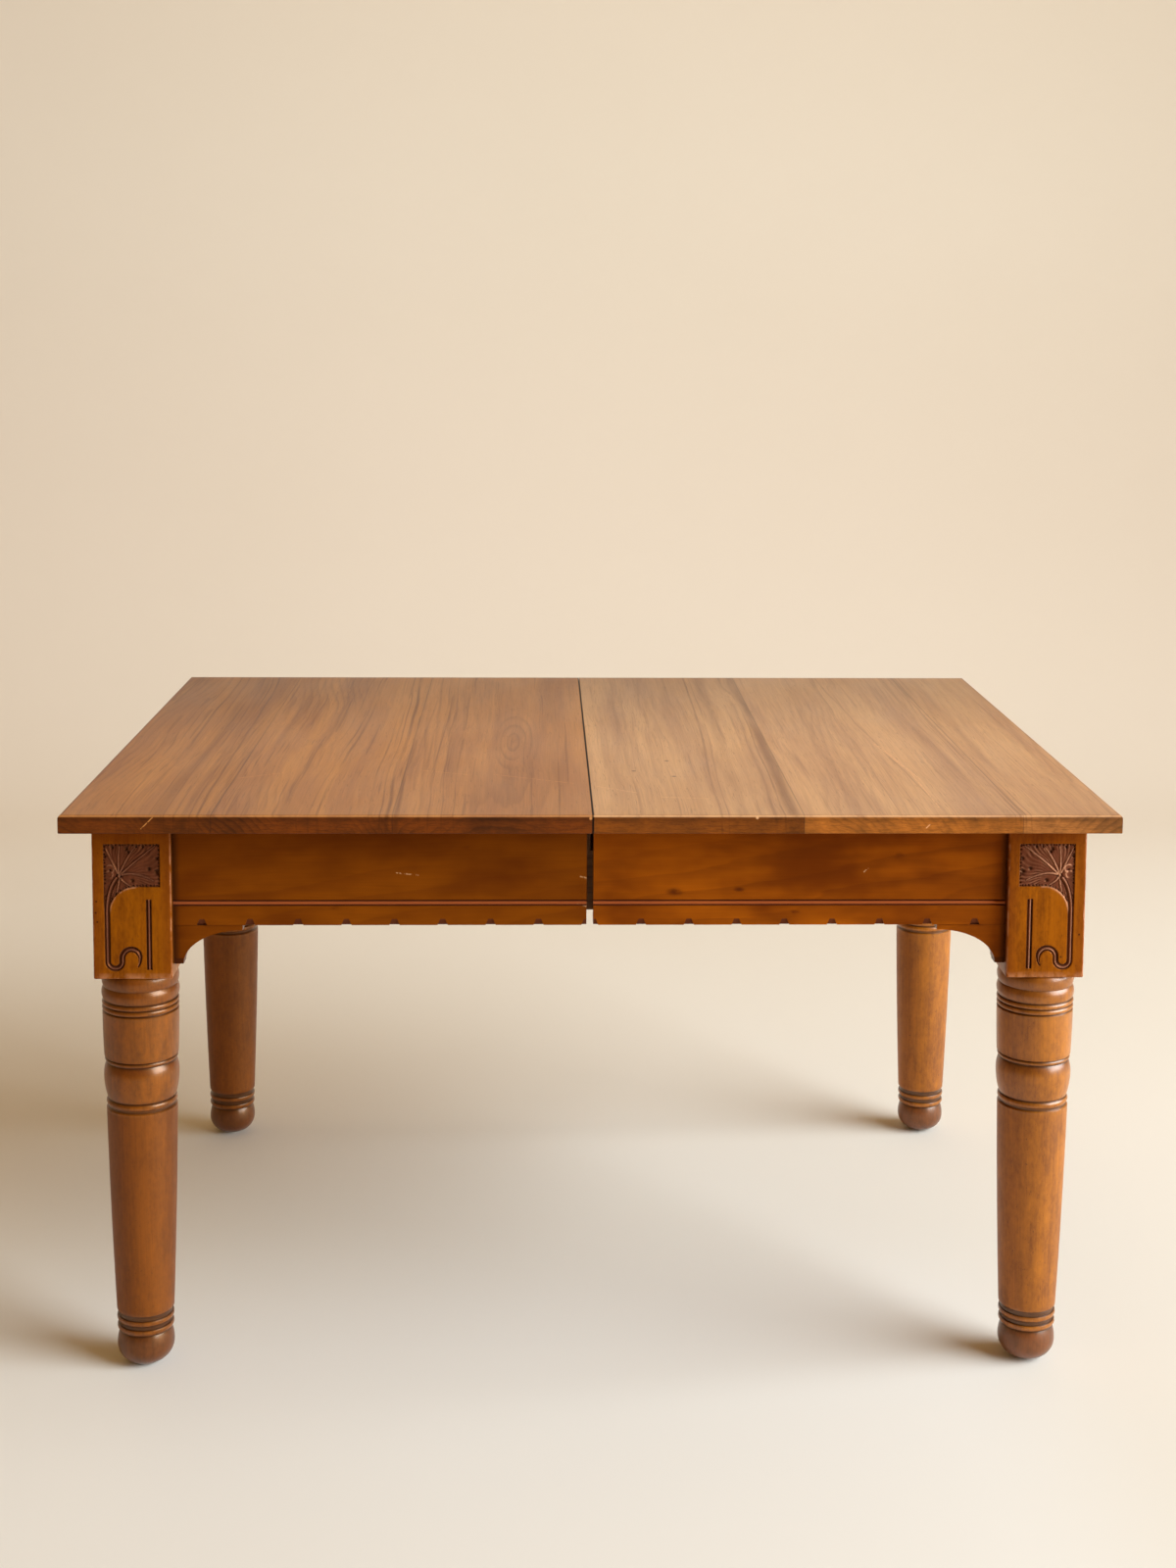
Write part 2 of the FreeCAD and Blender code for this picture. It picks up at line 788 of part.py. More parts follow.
parts["middle_front_runner"] = middle_runner.cut(rail_holes)
parts["middle_back_runner"] = to_back(middle_runner).cut(rail_holes)
parts["middle_front_tongue"] = tongue(middle_runner_y)
parts["middle_back_tongue"] = to_back(tongue(middle_runner_y))
parts["middle_left_rail"] = rail(-rail_place).cut(rail_holes)
parts["middle_right_rail"] = rail(rail_place).cut(rail_holes)
parts["middle_stop_pegs"] = Part.Compound([middle_peg, to_back(middle_peg)])
parts["middle_rail_screws"] = Part.Compound(rail_screws)

os.makedirs("parts", exist_ok=True)
for name, shape in parts.items():
    shape.exportStep("parts/" + name + ".step")
    print(name, "solids", len(shape.Solids), "valid", shape.isValid(), "volume", round(shape.Volume))
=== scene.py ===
import math

import bmesh
import bpy
import numpy as np
from mathutils import Matrix, Vector


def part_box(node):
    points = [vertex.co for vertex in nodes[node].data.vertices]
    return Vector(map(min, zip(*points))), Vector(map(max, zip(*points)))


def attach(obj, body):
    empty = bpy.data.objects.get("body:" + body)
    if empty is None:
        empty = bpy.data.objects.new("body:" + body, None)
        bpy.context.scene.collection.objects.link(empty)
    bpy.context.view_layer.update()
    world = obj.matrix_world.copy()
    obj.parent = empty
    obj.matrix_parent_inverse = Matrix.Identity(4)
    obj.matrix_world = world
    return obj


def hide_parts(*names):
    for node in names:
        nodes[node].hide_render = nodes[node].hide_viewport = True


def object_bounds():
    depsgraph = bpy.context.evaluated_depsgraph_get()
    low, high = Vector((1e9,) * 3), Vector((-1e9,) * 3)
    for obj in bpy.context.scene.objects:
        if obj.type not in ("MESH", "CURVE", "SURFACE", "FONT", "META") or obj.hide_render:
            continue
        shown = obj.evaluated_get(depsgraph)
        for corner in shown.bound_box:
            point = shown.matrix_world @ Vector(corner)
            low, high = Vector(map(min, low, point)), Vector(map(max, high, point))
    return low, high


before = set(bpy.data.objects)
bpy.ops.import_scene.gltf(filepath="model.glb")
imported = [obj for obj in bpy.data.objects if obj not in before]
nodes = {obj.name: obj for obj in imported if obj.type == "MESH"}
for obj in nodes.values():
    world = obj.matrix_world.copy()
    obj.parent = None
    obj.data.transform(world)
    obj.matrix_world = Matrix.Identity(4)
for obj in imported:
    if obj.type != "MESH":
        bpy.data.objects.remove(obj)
cad_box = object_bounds()
half_length = cad_box[1][0]
half_depth = cad_box[1][1]
table_height = cad_box[1][2]
bracket_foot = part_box("left_front_bracket")[0][2]
bracket_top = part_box("left_front_bracket")[1][2]
leg_low, leg_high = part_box("right_back_leg")
leg_place = [(leg_low[axis] + leg_high[axis]) / 2 for axis in (0, 1)]
leg_half = (leg_high[0] - leg_low[0]) / 2

# Camera of the photograph, in metres and radians
camera_place = Vector((-0.0686, -3.1147, 1.3814))
camera_yaw = 0.0231
camera_pitch = 0.1024
camera_roll = 0.0054
camera_lens = 49.0
camera_film = 36.0
camera_shift = -0.160

# Turned profile of a leg below its block: height, radius, and swell of the curve that ends there
block_bottom = 0.533
turning_start = (block_bottom, 0.0470)
turning_rows = (
    (0.5137, 0.0476, 0.13),
    (0.4957, 0.0475, 0.14),
    (0.4886, 0.0473, 0.31),
    (0.4814, 0.0472, 0.31),
    (0.4795, 0.0492, 0.0),
    (0.4205, 0.0477, 0.006),
    (0.4186, 0.0457, 0.0),
    (0.4141, 0.0457, 0.30),
    (0.4125, 0.0447, 0.0),
    (0.3959, 0.0484, 0.057),
    (0.3665, 0.0445, 0.034),
    (0.3638, 0.0432, 0.0),
    (0.3550, 0.0432, 0.27),
    (0.3529, 0.0430, 0.0),
    (0.3505, 0.0456, 0.0),
    (0.0760, 0.0372, 0.003),
    (0.0685, 0.0350, -0.12),
    (0.0679, 0.0366, 0.0),
    (0.0625, 0.0366, 0.10),
    (0.0560, 0.0344, -0.12),
    (0.0554, 0.0363, 0.0),
    (0.0499, 0.0360, 0.12),
    (0.0470, 0.0337, 0.0),
    (0.0280, 0.0371, 0.045),
    (0.0035, 0.0200, 0.157),
)
turning_step = 0.0012
turning_long_step = 0.006
turning_long_curve = 0.048
turning_sides = 120
groove_reach = 0.0019
cove_stain = 0.85
neck_share = 0.4
groove_angle = math.radians(18)
groove_full_angle = math.radians(60)

# Carving of a block face: places are (distance from the outer edge, height), then the size of a pit or lobe
block_arris = 0.002
block_dent = 0.0011
dent_start = 0.15
dent_corner_step = 2.3
dent_leg_step = 5.1
panel_low = (0.0142, 0.653)
panel_high = (0.0862, 0.7092)
sweep_centre = (0.055, 0.620)
sweep_radius = 0.033
ground_depth = 0.0030
ground_slope = 0.0010
leaf_heart = (0.0338, 0.6675)
leaf_veins = (
    ((0.0560, 0.6890), (0.0790, 0.7057)),
    ((0.0500, 0.6760), (0.0770, 0.6615)),
    ((0.0420, 0.6900), (0.0556, 0.7062)),
    ((0.0320, 0.6900), (0.0350, 0.7062)),
    ((0.0250, 0.6880), (0.0172, 0.7035)),
    ((0.0380, 0.6600), (0.0480, 0.6545)),
    ((0.0340, 0.6560), (0.0300, 0.6440)),
)
leaf_pits = (
    (0.0437, 0.7027, 1.2), (0.0460, 0.6985, 1.0), (0.0718, 0.6764, 1.1), (0.0817, 0.6726, 1.3),
    (0.0507, 0.6613, 1.2), (0.0282, 0.6606, 1.2), (0.0225, 0.6745, 0.9), (0.0645, 0.7050, 0.9),
    (0.0262, 0.7045, 0.9), (0.0820, 0.6900, 0.8), (0.0560, 0.7055, 0.9), (0.0170, 0.6930, 0.8),
)
pit_radius = 0.0019
pit_depth = 0.0022
leaf_height = 0.0019
leaf_sag = 0.0007
vein_height = 0.0011
vein_width = 0.0008
gouge_count = 54
gouge_height = 0.00065
notch_spacing = 0.0043
notch_reach = 0.0021
lobe_rings = ((0.0225, 0.6765, 0.0052), (0.0215, 0.6690, 0.0046))
stem_half_width = 0.0040
stem_tip_half_width = 0.0012
stem_depth = 0.0026
stem_ridge = 0.0024
stem_ridge_width = 0.0013
stem_ridge_offset = 0.0007
stem_head = ((0.0305, 0.6640), (0.0190, 0.6500), (0.0185, 0.6200))
stem_foot = 0.556
turn_centre = (0.0275, 0.556)
turn_radius = 0.009
hook_centre = (0.048, 0.5605)
hook_radius = 0.0115
hook_tip = (0.057, 0.5495)
tip_length = 0.030
reed_low = (0.0675, 0.545)
reed_high = (0.0750, 0.637)
carved_margin = 0.012
carved_low = 0.542
carved_high = 0.711
carved_step = 0.00075
plain_step = 0.012
gouge_start = (0.004, 0.016)
crest_start = (0.010, 0.022)
cut_start = (0.007, 0.016)
sag_reach = 0.008
lobe_start = (-0.004, 0.002)
sweep_overlap = 0.012
border_start = 0.0002
border_end = 0.0009
channel_slope = 0.0009
reed_slope = 0.0008
stem_pull = 0.59
stem_length = 0.27
hook_pull = 0.004
rib_wear_and_highlight = 0.55
lip_width = 0.0011
lip_rise = (-0.004, 0.006)
lip_reach = (-0.006, 0.002)
lip_end = (0.0528, 0.0488)
pit_floor = 0.0008
stain_depth = (0.0013, 0.0030)
margin_places = (0.006, 0.009)
plain_heights = (0.715, 0.725)
arris_rows = 5
sharp_angle = math.radians(38)

# Floor and backdrop; a soft step is (none, all)
floor_front = -7.0
floor_back = 2.6
cove_radius = 1.4
wall_start = 1.0
wall_height = 5.0
stage_half_width = 7.0
near_floor_light = (0.05, -0.4)
near_floor_light_side = (0.75, 0.45)
upper_wall_light = (0.6, 2.0)
# Two tones each of the middle floor, the near floor, the lower wall and the upper wall; the near floor and
# the upper wall are lighter as painted light
stage_tones = (
    ((227, 216, 197), (223, 211, 191)),
    ((233, 224, 208), (229, 219, 202)),
    ((229, 213, 191), (226, 210, 187)),
    ((234, 221, 200), (231, 218, 196)),
)

# Lamps: place, target, size, power, colour and spread in degrees
lamps = {
    "key": ((5.7, -2.3, 3.1), (-0.2, 0.0, 0.6), (6.4, 4.6), 346.0, (0.85, 0.995, 1.17), 90.0),
    "wall_wash": ((0.9, 1.0, 4.8), (0.9, 4.0, 3.6), (5.0, 1.0), 38.0, (1.0, 0.93, 0.84), 180.0),
}
room_front = (0.22, 0.12, 0.030, 1.0)
room_back = (0.55, 0.35, 0.125, 1.0)

# Glides, and the rounding of worn edges
glide_sides = 48
glide_rows = 7
glide_waver = 0.012
soften_angle = math.radians(40)
apron_soften = 0.0006
bracket_soften = 0.0008
screw_soften = 0.0004


def linear(red, green, blue):
    """A screen colour of 0 to 255 as a shader colour."""
    shares = [value / 255 for value in (red, green, blue)]
    return tuple(s / 12.92 if s <= 0.04045 else ((s + 0.055) / 1.055) ** 2.4 for s in shares) + (1.0,)


def tint(colour, share):
    """A screen colour made lighter or darker, as a shader colour."""
    return linear(*[value * share for value in colour])


class Value:
    """An output in a node tree; sums, products and calls on it add nodes."""

    def __init__(self, graph, socket):
        self.graph = graph
        self.socket = socket

    def __add__(self, other):
        return self.graph.math("ADD", self, other)

    def __sub__(self, other):
        return self.graph.math("SUBTRACT", self, other)

    def __rsub__(self, other):
        return self.graph.math("SUBTRACT", other, self)

    def __mul__(self, other):
        return self.graph.math("MULTIPLY", self, other)

    def __abs__(self):
        return self.graph.math("ABSOLUTE", self)

    def parts(self):
        """The x, y and z of a place."""
        node = self.graph.nodes.new("ShaderNodeSeparateXYZ")
        self.graph.feed(node.inputs[0], self)
        return [Value(self.graph, output) for output in node.outputs]

    def moved(self, shift):
        return self.graph.vector("ADD", self, shift)

    def distance(self, place):
        return self.graph.vector("DISTANCE", self, place)

    def noise(self, across, along, detail=2.0, roughness=0.5, into=None):
        """Noise about 0.5, with so many waves per metre across, along and into the wood."""
        stretch = (across, along, across if into is None else into)
        values = {"Vector": self.graph.vector("MULTIPLY", self, stretch), "Scale": 1.0}
        values.update({"Detail": detail, "Roughness": roughness})
        return self.graph.fill(self.graph.nodes.new("ShaderNodeTexNoise"), values, "Fac")

    def smooth(self, low, high):
        """A soft step from 0 at low to 1 at high."""
        node = self.graph.nodes.new("ShaderNodeMapRange")
        node.interpolation_type = "SMOOTHSTEP"
        return self.graph.fill(node, {"Value": self, "From Min": low, "From Max": high}, "Result")

    def band(self, rise, fall):
        """A soft band between two soft steps."""
        return self.smooth(*rise) * self.smooth(*fall)

    def spread(self, low, high):
        """A value of 0 to 1 stretched to run from low to high."""
        node = self.graph.nodes.new("ShaderNodeMapRange")
        return self.graph.fill(node, {"Value": self, "To Min": low, "To Max": high}, "Result")


class Graph:
    """The node tree of a material or world, and the colour painted so far."""

    def __init__(self, owner):
        owner.use_nodes = True
        self.owner = owner
        self.nodes = owner.node_tree.nodes
        self.links = owner.node_tree.links
        self.colour = None

    def feed(self, socket, value):
        if isinstance(value, Value):
            self.links.new(value.socket, socket)
        else:
            socket.default_value = value

    def fill(self, node, inputs, output=0):
        """Sets or links a node's inputs by name or number and gives back one of its outputs."""
        for key, value in inputs.items():
            self.feed(node.inputs[key], value)
        return Value(self, node.outputs[output])

    def set(self, **values):
        """Sets or links the shader's inputs by name, with _ for a space."""
        for name, value in values.items():
            self.feed(self.nodes["Principled BSDF"].inputs[name.replace("_", " ")], value)

    def math(self, operation, *values):
        node = self.nodes.new("ShaderNodeMath")
        node.operation = operation
        return self.fill(node, dict(enumerate(values)))

    def vector(self, operation, *values):
        node = self.nodes.new("ShaderNodeVectorMath")
        node.operation = operation
        single = operation in ("LENGTH", "DISTANCE", "DOT_PRODUCT")
        return self.fill(node, dict(enumerate(values)), "Value" if single else "Vector")

    def scale(self, value, share):
        node = self.nodes.new("ShaderNodeVectorMath")
        node.operation = "SCALE"
        return self.fill(node, {0: value, "Scale": share}, "Vector")

    def combine(self, *values):
        return self.fill(self.nodes.new("ShaderNodeCombineXYZ"), dict(enumerate(values)))

    def place(self, kind="Object"):
        return self.fill(self.nodes.new("ShaderNodeTexCoord"), {}, kind)

    def attribute(self, name):
        node = self.nodes.new("ShaderNodeAttribute")
        node.attribute_name = name
        return self.fill(node, {}, "Fac")

    def mix(self, share, start, end):
        node = self.nodes.new("ShaderNodeMix")
        node.data_type = "RGBA"
        return self.fill(node, {0: share, 6: start, 7: end}, 2)

    def paint(self, mask, over):
        """Lays a colour over the colour so far, where a mask says."""
        self.colour = self.mix(mask, self.colour, over)

    def shade(self, colour, value, amount):
        """A colour made up to so much lighter or darker by a value about 0.5."""
        return self.scale(colour, value.spread(1 - 2 * amount, 1 + 2 * amount))

    def bump(self, height, distance, strength):
        values = {"Height": height, "Distance": distance, "Strength": strength}
        return self.fill(self.nodes.new("ShaderNodeBump"), values)


# Parts of a wood's look; a wood place is (across the grain, along it, into the board)
def wood_place(graph, order):
    """The object's coordinates in wood order, such as YXZ for grain that runs along x."""
    parts = graph.place().parts()
    return graph.combine(*[parts["XYZ".index(letter)] for letter in order])


def bent_place(place, amount):
    """The same place with grain that sways gently across the board."""
    ripple = place.moved((2.3, 5.1, 8.7)).noise(14.0, 2.4)
    shift = ripple * (amount * 0.25) + place.noise(4.0, 1.5) * amount
    return place.moved(place.graph.combine(shift, 0.0, shift))


def growth_rings(place, pith, lean, width):
    """Late wood lines, 0 to 1, round a pith that leans along the board, clear in places only."""
    graph = place.graph
    across, along, into = place.parts()
    lift = along * lean + (into - pith[1])
    radius = graph.vector("LENGTH", graph.combine(across - pith[0], lift, 0.0))
    turn = graph.math("FRACT", radius * (1 / width) + place.noise(28.0, 1.8, 3.0) * 1.6)
    patches = place.moved((4.4, 1.2, 6.6)).noise(9.0, 1.6, 3.0)
    return turn.band((0.40, 0.93), (1.0, 0.94)) * patches.smooth(0.42, 0.68)


def fibres(place):
    """Fine streaks along the grain, about 0.5."""
    return place.noise(620.0, 9.0, 3.0, 0.6)


def pores(place):
    """Short dark dashes along the grain, 0 to 1."""
    return place.noise(620.0, 34.0, 1.0, 0.4).smooth(0.64, 0.74)


def scratch(place, start, end, width):
    """A thin broken line on a surface, 0 to 1."""
    graph = place.graph
    run = Vector(end) - Vector(start)
    off = graph.vector("SUBTRACT", place, start)
    share = graph.vector("DOT_PRODUCT", off, tuple(run)) * (1 / run.length_squared)
    share = graph.math("MINIMUM", graph.math("MAXIMUM", share, 0.0), 1.0)
    gap = off.distance(graph.scale(tuple(run), share))
    return gap.smooth(width, width * 0.3) * place.noise(300.0, 300.0).smooth(0.40, 0.52)


def spot(place, centre, radius):
    """A soft round spot, 0 to 1."""
    return place.distance(centre).smooth(radius, radius * 0.4)


def most(*masks):
    """The strongest of several masks."""
    strongest = masks[0]
    for mask in masks[1:]:
        strongest = mask.graph.math("MAXIMUM", strongest, mask)
    return strongest


# Top boards: pith (across, height), lean, ring width, light, middling and dark wood, end grain
board_looks = {
    "left_top_seam_board": (
        (-0.105, 0.690), -0.035, 0.0130, (190, 128, 71), (158, 102, 62), (98, 50, 25), (109, 51, 8),
    ),
    "left_top_middle_board": (
        (-0.620, 0.480), 0.05, 0.0075, (190, 127, 67), (156, 99, 59), (94, 47, 24), (109, 51, 8),
    ),
    "left_top_outer_board": (
        (-0.800, 0.560), -0.05, 0.0070, (186, 123, 62), (150, 94, 54), (92, 46, 22), (106, 50, 8),
    ),
    "right_top_seam_board": (
        (-0.120, 0.500), 0.04, 0.0090, (204, 153, 103), (172, 124, 86), (112, 66, 42), (120, 62, 12),
    ),
    "right_top_middle_board": (
        (0.160, 0.560), -0.06, 0.0080, (206, 154, 104), (176, 127, 89), (118, 72, 44), (162, 93, 31),
    ),
    "right_top_outer_board": (
        (0.840, 0.520), 0.05, 0.0085, (205, 153, 101), (180, 128, 86), (122, 76, 46), (163, 100, 45),
    ),
}
# Smoky bands along a board: place at the front, place at the back, half width, strength
top_bands = (
    (-0.243, -0.250, 0.006, 0.85), (-0.214, -0.228, 0.003, 0.55), (-0.203, -0.214, 0.0016, 0.60),
    (-0.188, -0.200, 0.0016, 0.55), (-0.174, -0.182, 0.0014, 0.45), (-0.040, -0.052, 0.010, 0.25),
    (-0.254, -0.266, 0.004, 0.95), (-0.263, -0.277, 0.0018, 0.70), (-0.277, -0.291, 0.0022, 0.60),
    (-0.338, -0.326, 0.0030, 0.80), (-0.349, -0.332, 0.0020, 0.75), (-0.364, -0.347, 0.0016, 0.55),
    (-0.430, -0.445, 0.010, 0.30), (-0.415, -0.430, 0.0016, 0.50), (-0.385, -0.372, 0.012, 0.25),
    (-0.486, -0.513, 0.003, 0.80), (-0.496, -0.523, 0.0018, 0.70), (-0.503, -0.530, 0.005, 0.45),
    (-0.514, -0.538, 0.0018, 0.70), (-0.527, -0.549, 0.0018, 0.65), (-0.545, -0.566, 0.0016, 0.60),
    (-0.536, -0.546, 0.014, 0.35), (-0.566, -0.580, 0.003, 0.60), (-0.590, -0.596, 0.0018, 0.55),
    (0.255, 0.262, 0.012, 0.85), (0.244, 0.253, 0.0020, 0.75), (0.233, 0.245, 0.003, 0.60),
    (0.161, 0.184, 0.0026, 0.75), (0.171, 0.193, 0.0014, 0.60), (0.060, 0.050, 0.003, 0.35),
    (0.190, 0.208, 0.014, 0.35),
    (0.441, 0.400, 0.0022, 0.45), (0.520, 0.480, 0.010, 0.35), (0.534, 0.536, 0.003, 0.75),
    (0.527, 0.530, 0.0014, 0.65), (0.330, 0.352, 0.010, 0.25), (0.384, 0.396, 0.0014, 0.40),
    (0.541, 0.541, 0.0020, 0.90), (0.548, 0.549, 0.0014, 0.65), (0.562, 0.568, 0.008, 0.30),
)
# How streaky the boards of each half are, and how pale their upper arrises are from rubbing and painted
# highlight
top_figure = {"left": 0.78, "right": 0.50}
top_wear_and_highlight = {"left": 0.24, "right": 0.44}
top_scratches = (
    ((-0.238, -0.239), (-0.165, -0.272)), ((-0.129, -0.270), (-0.022, -0.325)),
    ((-0.470, -0.294), (-0.409, -0.257)),
    ((0.005, -0.340), (0.060, -0.381)), ((0.091, -0.405), (0.154, -0.416)),
    ((0.421, -0.061), (0.440, -0.255)), ((0.440, -0.255), (0.441, -0.462)),
    ((0.425, -0.075), (0.446, -0.300)),
    ((0.540, -0.147), (0.544, -0.161)),
)
top_holes = ((0.111, -0.181), (0.062, -0.248), (0.115, -0.282))
# Closed ovals of grain: centre and half sizes, as (across, along)
top_ovals = (((-0.105, -0.050), (0.020, 0.140)),)
# Marks on the front edge, as (along, height)
edge_scratches = (
    ((-0.561, 0.743), (-0.546, 0.758)),
    ((0.417, 0.744), (0.422, 0.749)),
)
edge_nicks = ((-0.003, 0.756), (0.205, 0.757))
# Marks, painted shade and painted highlight of the top: widths, places and soft steps, each step as (none,
# all)
top_sway = 0.030
top_sway_mean = 0.018
ring_fade = (0.02, 0.09)
edge_slant = 2.5
rim_shade = (0.011, 0.005)
seam_dirt = (0.0018, 0.0009)
seam_dull = (0.0030, 0.0015)
joint_dirt = (0.0012, 0.0004)
arris_line = 0.0040
arris_line_fade = (0.0012, 0.0004)
pale_arris_inner = (0.0034, 0.0024)
pale_arris_outer = (0.0002, 0.0010)
pale_arris_depth = (0.0050, 0.0036)
top_scratch_width = 0.0011
edge_scratch_width = 0.0009
nick_radius = 0.0025
top_hole_radius = 0.0042


def on_board(board, marks):
    """Those marks whose first place along x lies on a board."""
    low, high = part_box(board)
    return [mark for mark in marks if low[0] < np.ravel(mark[0])[0] < high[0]]


def board_smoke(board, place, grain, broad):
    """Smoky bands and ovals of a board, 0 to 1."""
    graph = place.graph
    across, along = grain.parts()[:2]
    smoke = []
    for front, back, half_width, strength in on_board(board, top_bands):
        line = along * ((front - back) / (2 * half_depth)) + across
        gap = abs(line - ((front + back) / 2 + top_sway_mean))
        smoke.append(gap.smooth(half_width, half_width * 0.1) * strength)
    for centre, half_size in on_board(board, top_ovals):
        off = graph.vector("SUBTRACT", place, (*centre, 0.0))
        flat = graph.vector("MULTIPLY", off, (1 / half_size[0], 1 / half_size[1], 0.0))
        reach = graph.vector("LENGTH", flat)
        turn = graph.math("FRACT", broad * 1.5 + reach * 2.2)
        smoke.append(turn.band((0.45, 0.90), (1.0, 0.92)) * reach.smooth(2.2, 1.0) * 0.5)
    return most(*smoke) * place.noise(34.0, 2.4, 3.0, 0.6).smooth(0.28, 0.62)


def board_edge(parts, edge, tone, rings, shadow):
    """Colour of a board's edges, where end grain has kept its finish."""
    graph = tone.graph
    dark = tint(edge, 0.62)
    share = (rings * 0.26 + tone * 0.60).smooth(0.30, 1.0)
    colour = graph.mix(share, tint(edge, 1.17), dark)
    colour = graph.mix(shadow * 0.5, colour, dark)
    slanted = graph.combine(parts[2] * edge_slant + parts[0], parts[1], parts[2])
    lines = slanted.noise(60.0, 60.0, 3.0, 0.65, 620.0).smooth(0.44, 0.66)
    colour = graph.mix(lines * 0.50, colour, dark)
    colour = graph.shade(colour, slanted.noise(300.0, 300.0, 3.0, 0.65, 900.0), 0.20)
    rim = parts[2].smooth(*[table_height - depth for depth in rim_shade])
    return graph.shade(colour, 0.5 - rim * 0.5, 0.14)


def board_arris(place, parts, paling, pale):
    """A dark line where the arris starts, and a pale arris on it from rubbing and painted highlight."""
    graph = place.graph
    rim = graph.math("MINIMUM", half_length - abs(parts[0]), half_depth - abs(parts[1]))
    patchy = place.noise(60.0, 60.0, 3.0, 0.6).smooth(0.34, 0.60)
    crack = abs(rim - arris_line).smooth(*arris_line_fade)
    graph.paint(crack * patchy.spread(0.65, 0.35), linear(104, 46, 22))
    # Pale upper arris: rubbing and painted highlight where the rounded edge catches the light
    upper = parts[2].smooth(*[table_height - depth for depth in pale_arris_depth])
    arris_paling = rim.band(pale_arris_inner, pale_arris_outer) * upper
    graph.paint(arris_paling * patchy.spread(0.2 * paling, paling), pale)


def board_marks(board, place, pale, deep):
    """Pale scratches and nicks, and dark holes."""
    marks = [
        scratch(place, (*start, table_height), (*end, table_height), top_scratch_width)
        for start, end in on_board(board, top_scratches)
    ]
    marks += [
        scratch(place, *[(x, -half_depth, z) for x, z in ends], edge_scratch_width)
        for ends in on_board(board, edge_scratches)
    ]
    marks += [spot(place, (x, -half_depth, z), nick_radius) for x, z in on_board(board, edge_nicks)]
    holes = [spot(place, (x, y, table_height), top_hole_radius) for x, y in on_board(board, top_holes)]
    for masks, colour in ((marks, pale), (holes, deep)):
        if masks:
            place.graph.paint(most(*masks) * 0.8, colour)


def top_wood(board):
    """Worn, lacquered boards with grain from front to back and darker end grain on their edges."""
    pith, lean, ring_width, light, middling, dark, edge = board_looks[board]
    half = board.split("_")[0]
    figure = top_figure[half]
    dark_wood = linear(*dark)
    deep = tint(dark, 0.5)
    pale = tint(light, 1.12)
    graph = Graph(bpy.data.materials.new(board + "_wood"))
    place = wood_place(graph, "XYZ")
    parts = place.parts()
    off_seam = abs(parts[0])
    grain = bent_place(place, top_sway)
    fine = fibres(grain)
    rings = growth_rings(grain, pith, lean, ring_width) * off_seam.smooth(*ring_fade) * figure
    broad = grain.noise(10.0, 0.8, 3.0, 0.55)
    groups = grain.moved((7.1, 3.3, 1.9)).noise(15.0, 1.0).smooth(0.40, 0.60)
    streaks = grain.noise(270.0, 2.6, 3.0, 0.65).smooth(0.50, 0.66) * groups
    hairs = grain.moved((3.7, 9.2, 5.5)).noise(150.0, 0.9).smooth(0.64, 0.67)
    tone = broad * 1.2 + grain.noise(46.0, 1.5, 3.0, 0.6) * 0.8
    graph.colour = graph.mix(tone.smooth(0.68, 1.34), linear(*light), linear(*middling))
    graph.paint(streaks * (0.30 * figure), dark_wood)
    graph.paint(rings * 0.34, dark_wood)
    graph.paint(hairs * (0.45 * figure), dark_wood)
    shadow = board_smoke(board, place, grain, broad)
    graph.paint(shadow * 0.75, dark_wood)
    graph.colour = graph.shade(graph.colour, fine, 0.13)
    # Painted shade: the top grows darker towards the back
    back_shade = parts[1].smooth(-half_depth * 0.3, half_depth)
    graph.colour = graph.shade(graph.colour, 0.5 - back_shade * 0.5, 0.165)
    dashes = pores(grain)
    graph.paint(dashes * 0.22, deep)
    upright = graph.place("Normal").parts()[2].smooth(0.72, 0.30)
    graph.paint(upright, board_edge(parts, edge, tone, rings, shadow))
    # Dark dirt in the seam and in the glued joints
    graph.paint(off_seam.smooth(*seam_dirt) * 0.95, linear(30, 14, 6))
    for side in (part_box(board)[0][0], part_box(board)[1][0]):
        if abs(side) < half_length - arris_line:
            graph.paint(abs(parts[0] - side).smooth(*joint_dirt) * 0.4, deep)
    board_arris(place, parts, top_wear_and_highlight[half], pale)
    board_marks(board, place, pale, deep)
    gloss = place.noise(9.0, 3.0, 3.0).spread(0.34, 0.54)
    relief = graph.bump(fine * 0.5 - dashes, 0.00025, 0.5)
    dull = most(upright, off_seam.smooth(*seam_dull))
    graph.set(Base_Color=graph.colour, Roughness=gloss, Normal=relief)
    graph.set(Specular_IOR_Level=dull.spread(0.32, 0.12))
    return graph.owner


# Front aprons: dark knots (along, height, half length) and pale scratches (along, height)
apron_knots = (
    (0.108, 0.643, 0.016), (0.190, 0.646, 0.010), (0.262, 0.615, 0.011), (0.395, 0.690, 0.012),
    (-0.330, 0.622, 0.009), (-0.160, 0.700, 0.010),
)
apron_scratches = (
    ((-0.250, 0.668), (-0.222, 0.665)), ((-0.014, 0.663), (-0.005, 0.661)),
    ((-0.018, 0.627), (-0.006, 0.624)), ((0.351, 0.669), (0.356, 0.674)),
)
# Marks and painted shade of the aprons and brackets: widths and soft steps, each step as (none, all)
apron_sway = 0.030
block_corner_shade = (0.010, 0.001)
under_top_shade = (0.690, 0.736)
recess_step = (0.0003, 0.0014)
bead_rise = 0.029
bead_width = (0.0034, 0.0020)
bead_depth = (0.0016, 0.0008)
bracket_joint = (0.0014, 0.0004)
bracket_edge = (0.0085, 0.0060)
knot_flatness = 2.2
apron_scratch_width = 0.0012
# Warm tint of the polish where it reflects
finish_sheen = linear(255, 150, 70)
# Light and dark wood of each half's aprons
apron_looks = {"left": ((126, 63, 5), (90, 38, 3)), "right": ((156, 78, 7), (102, 43, 4))}


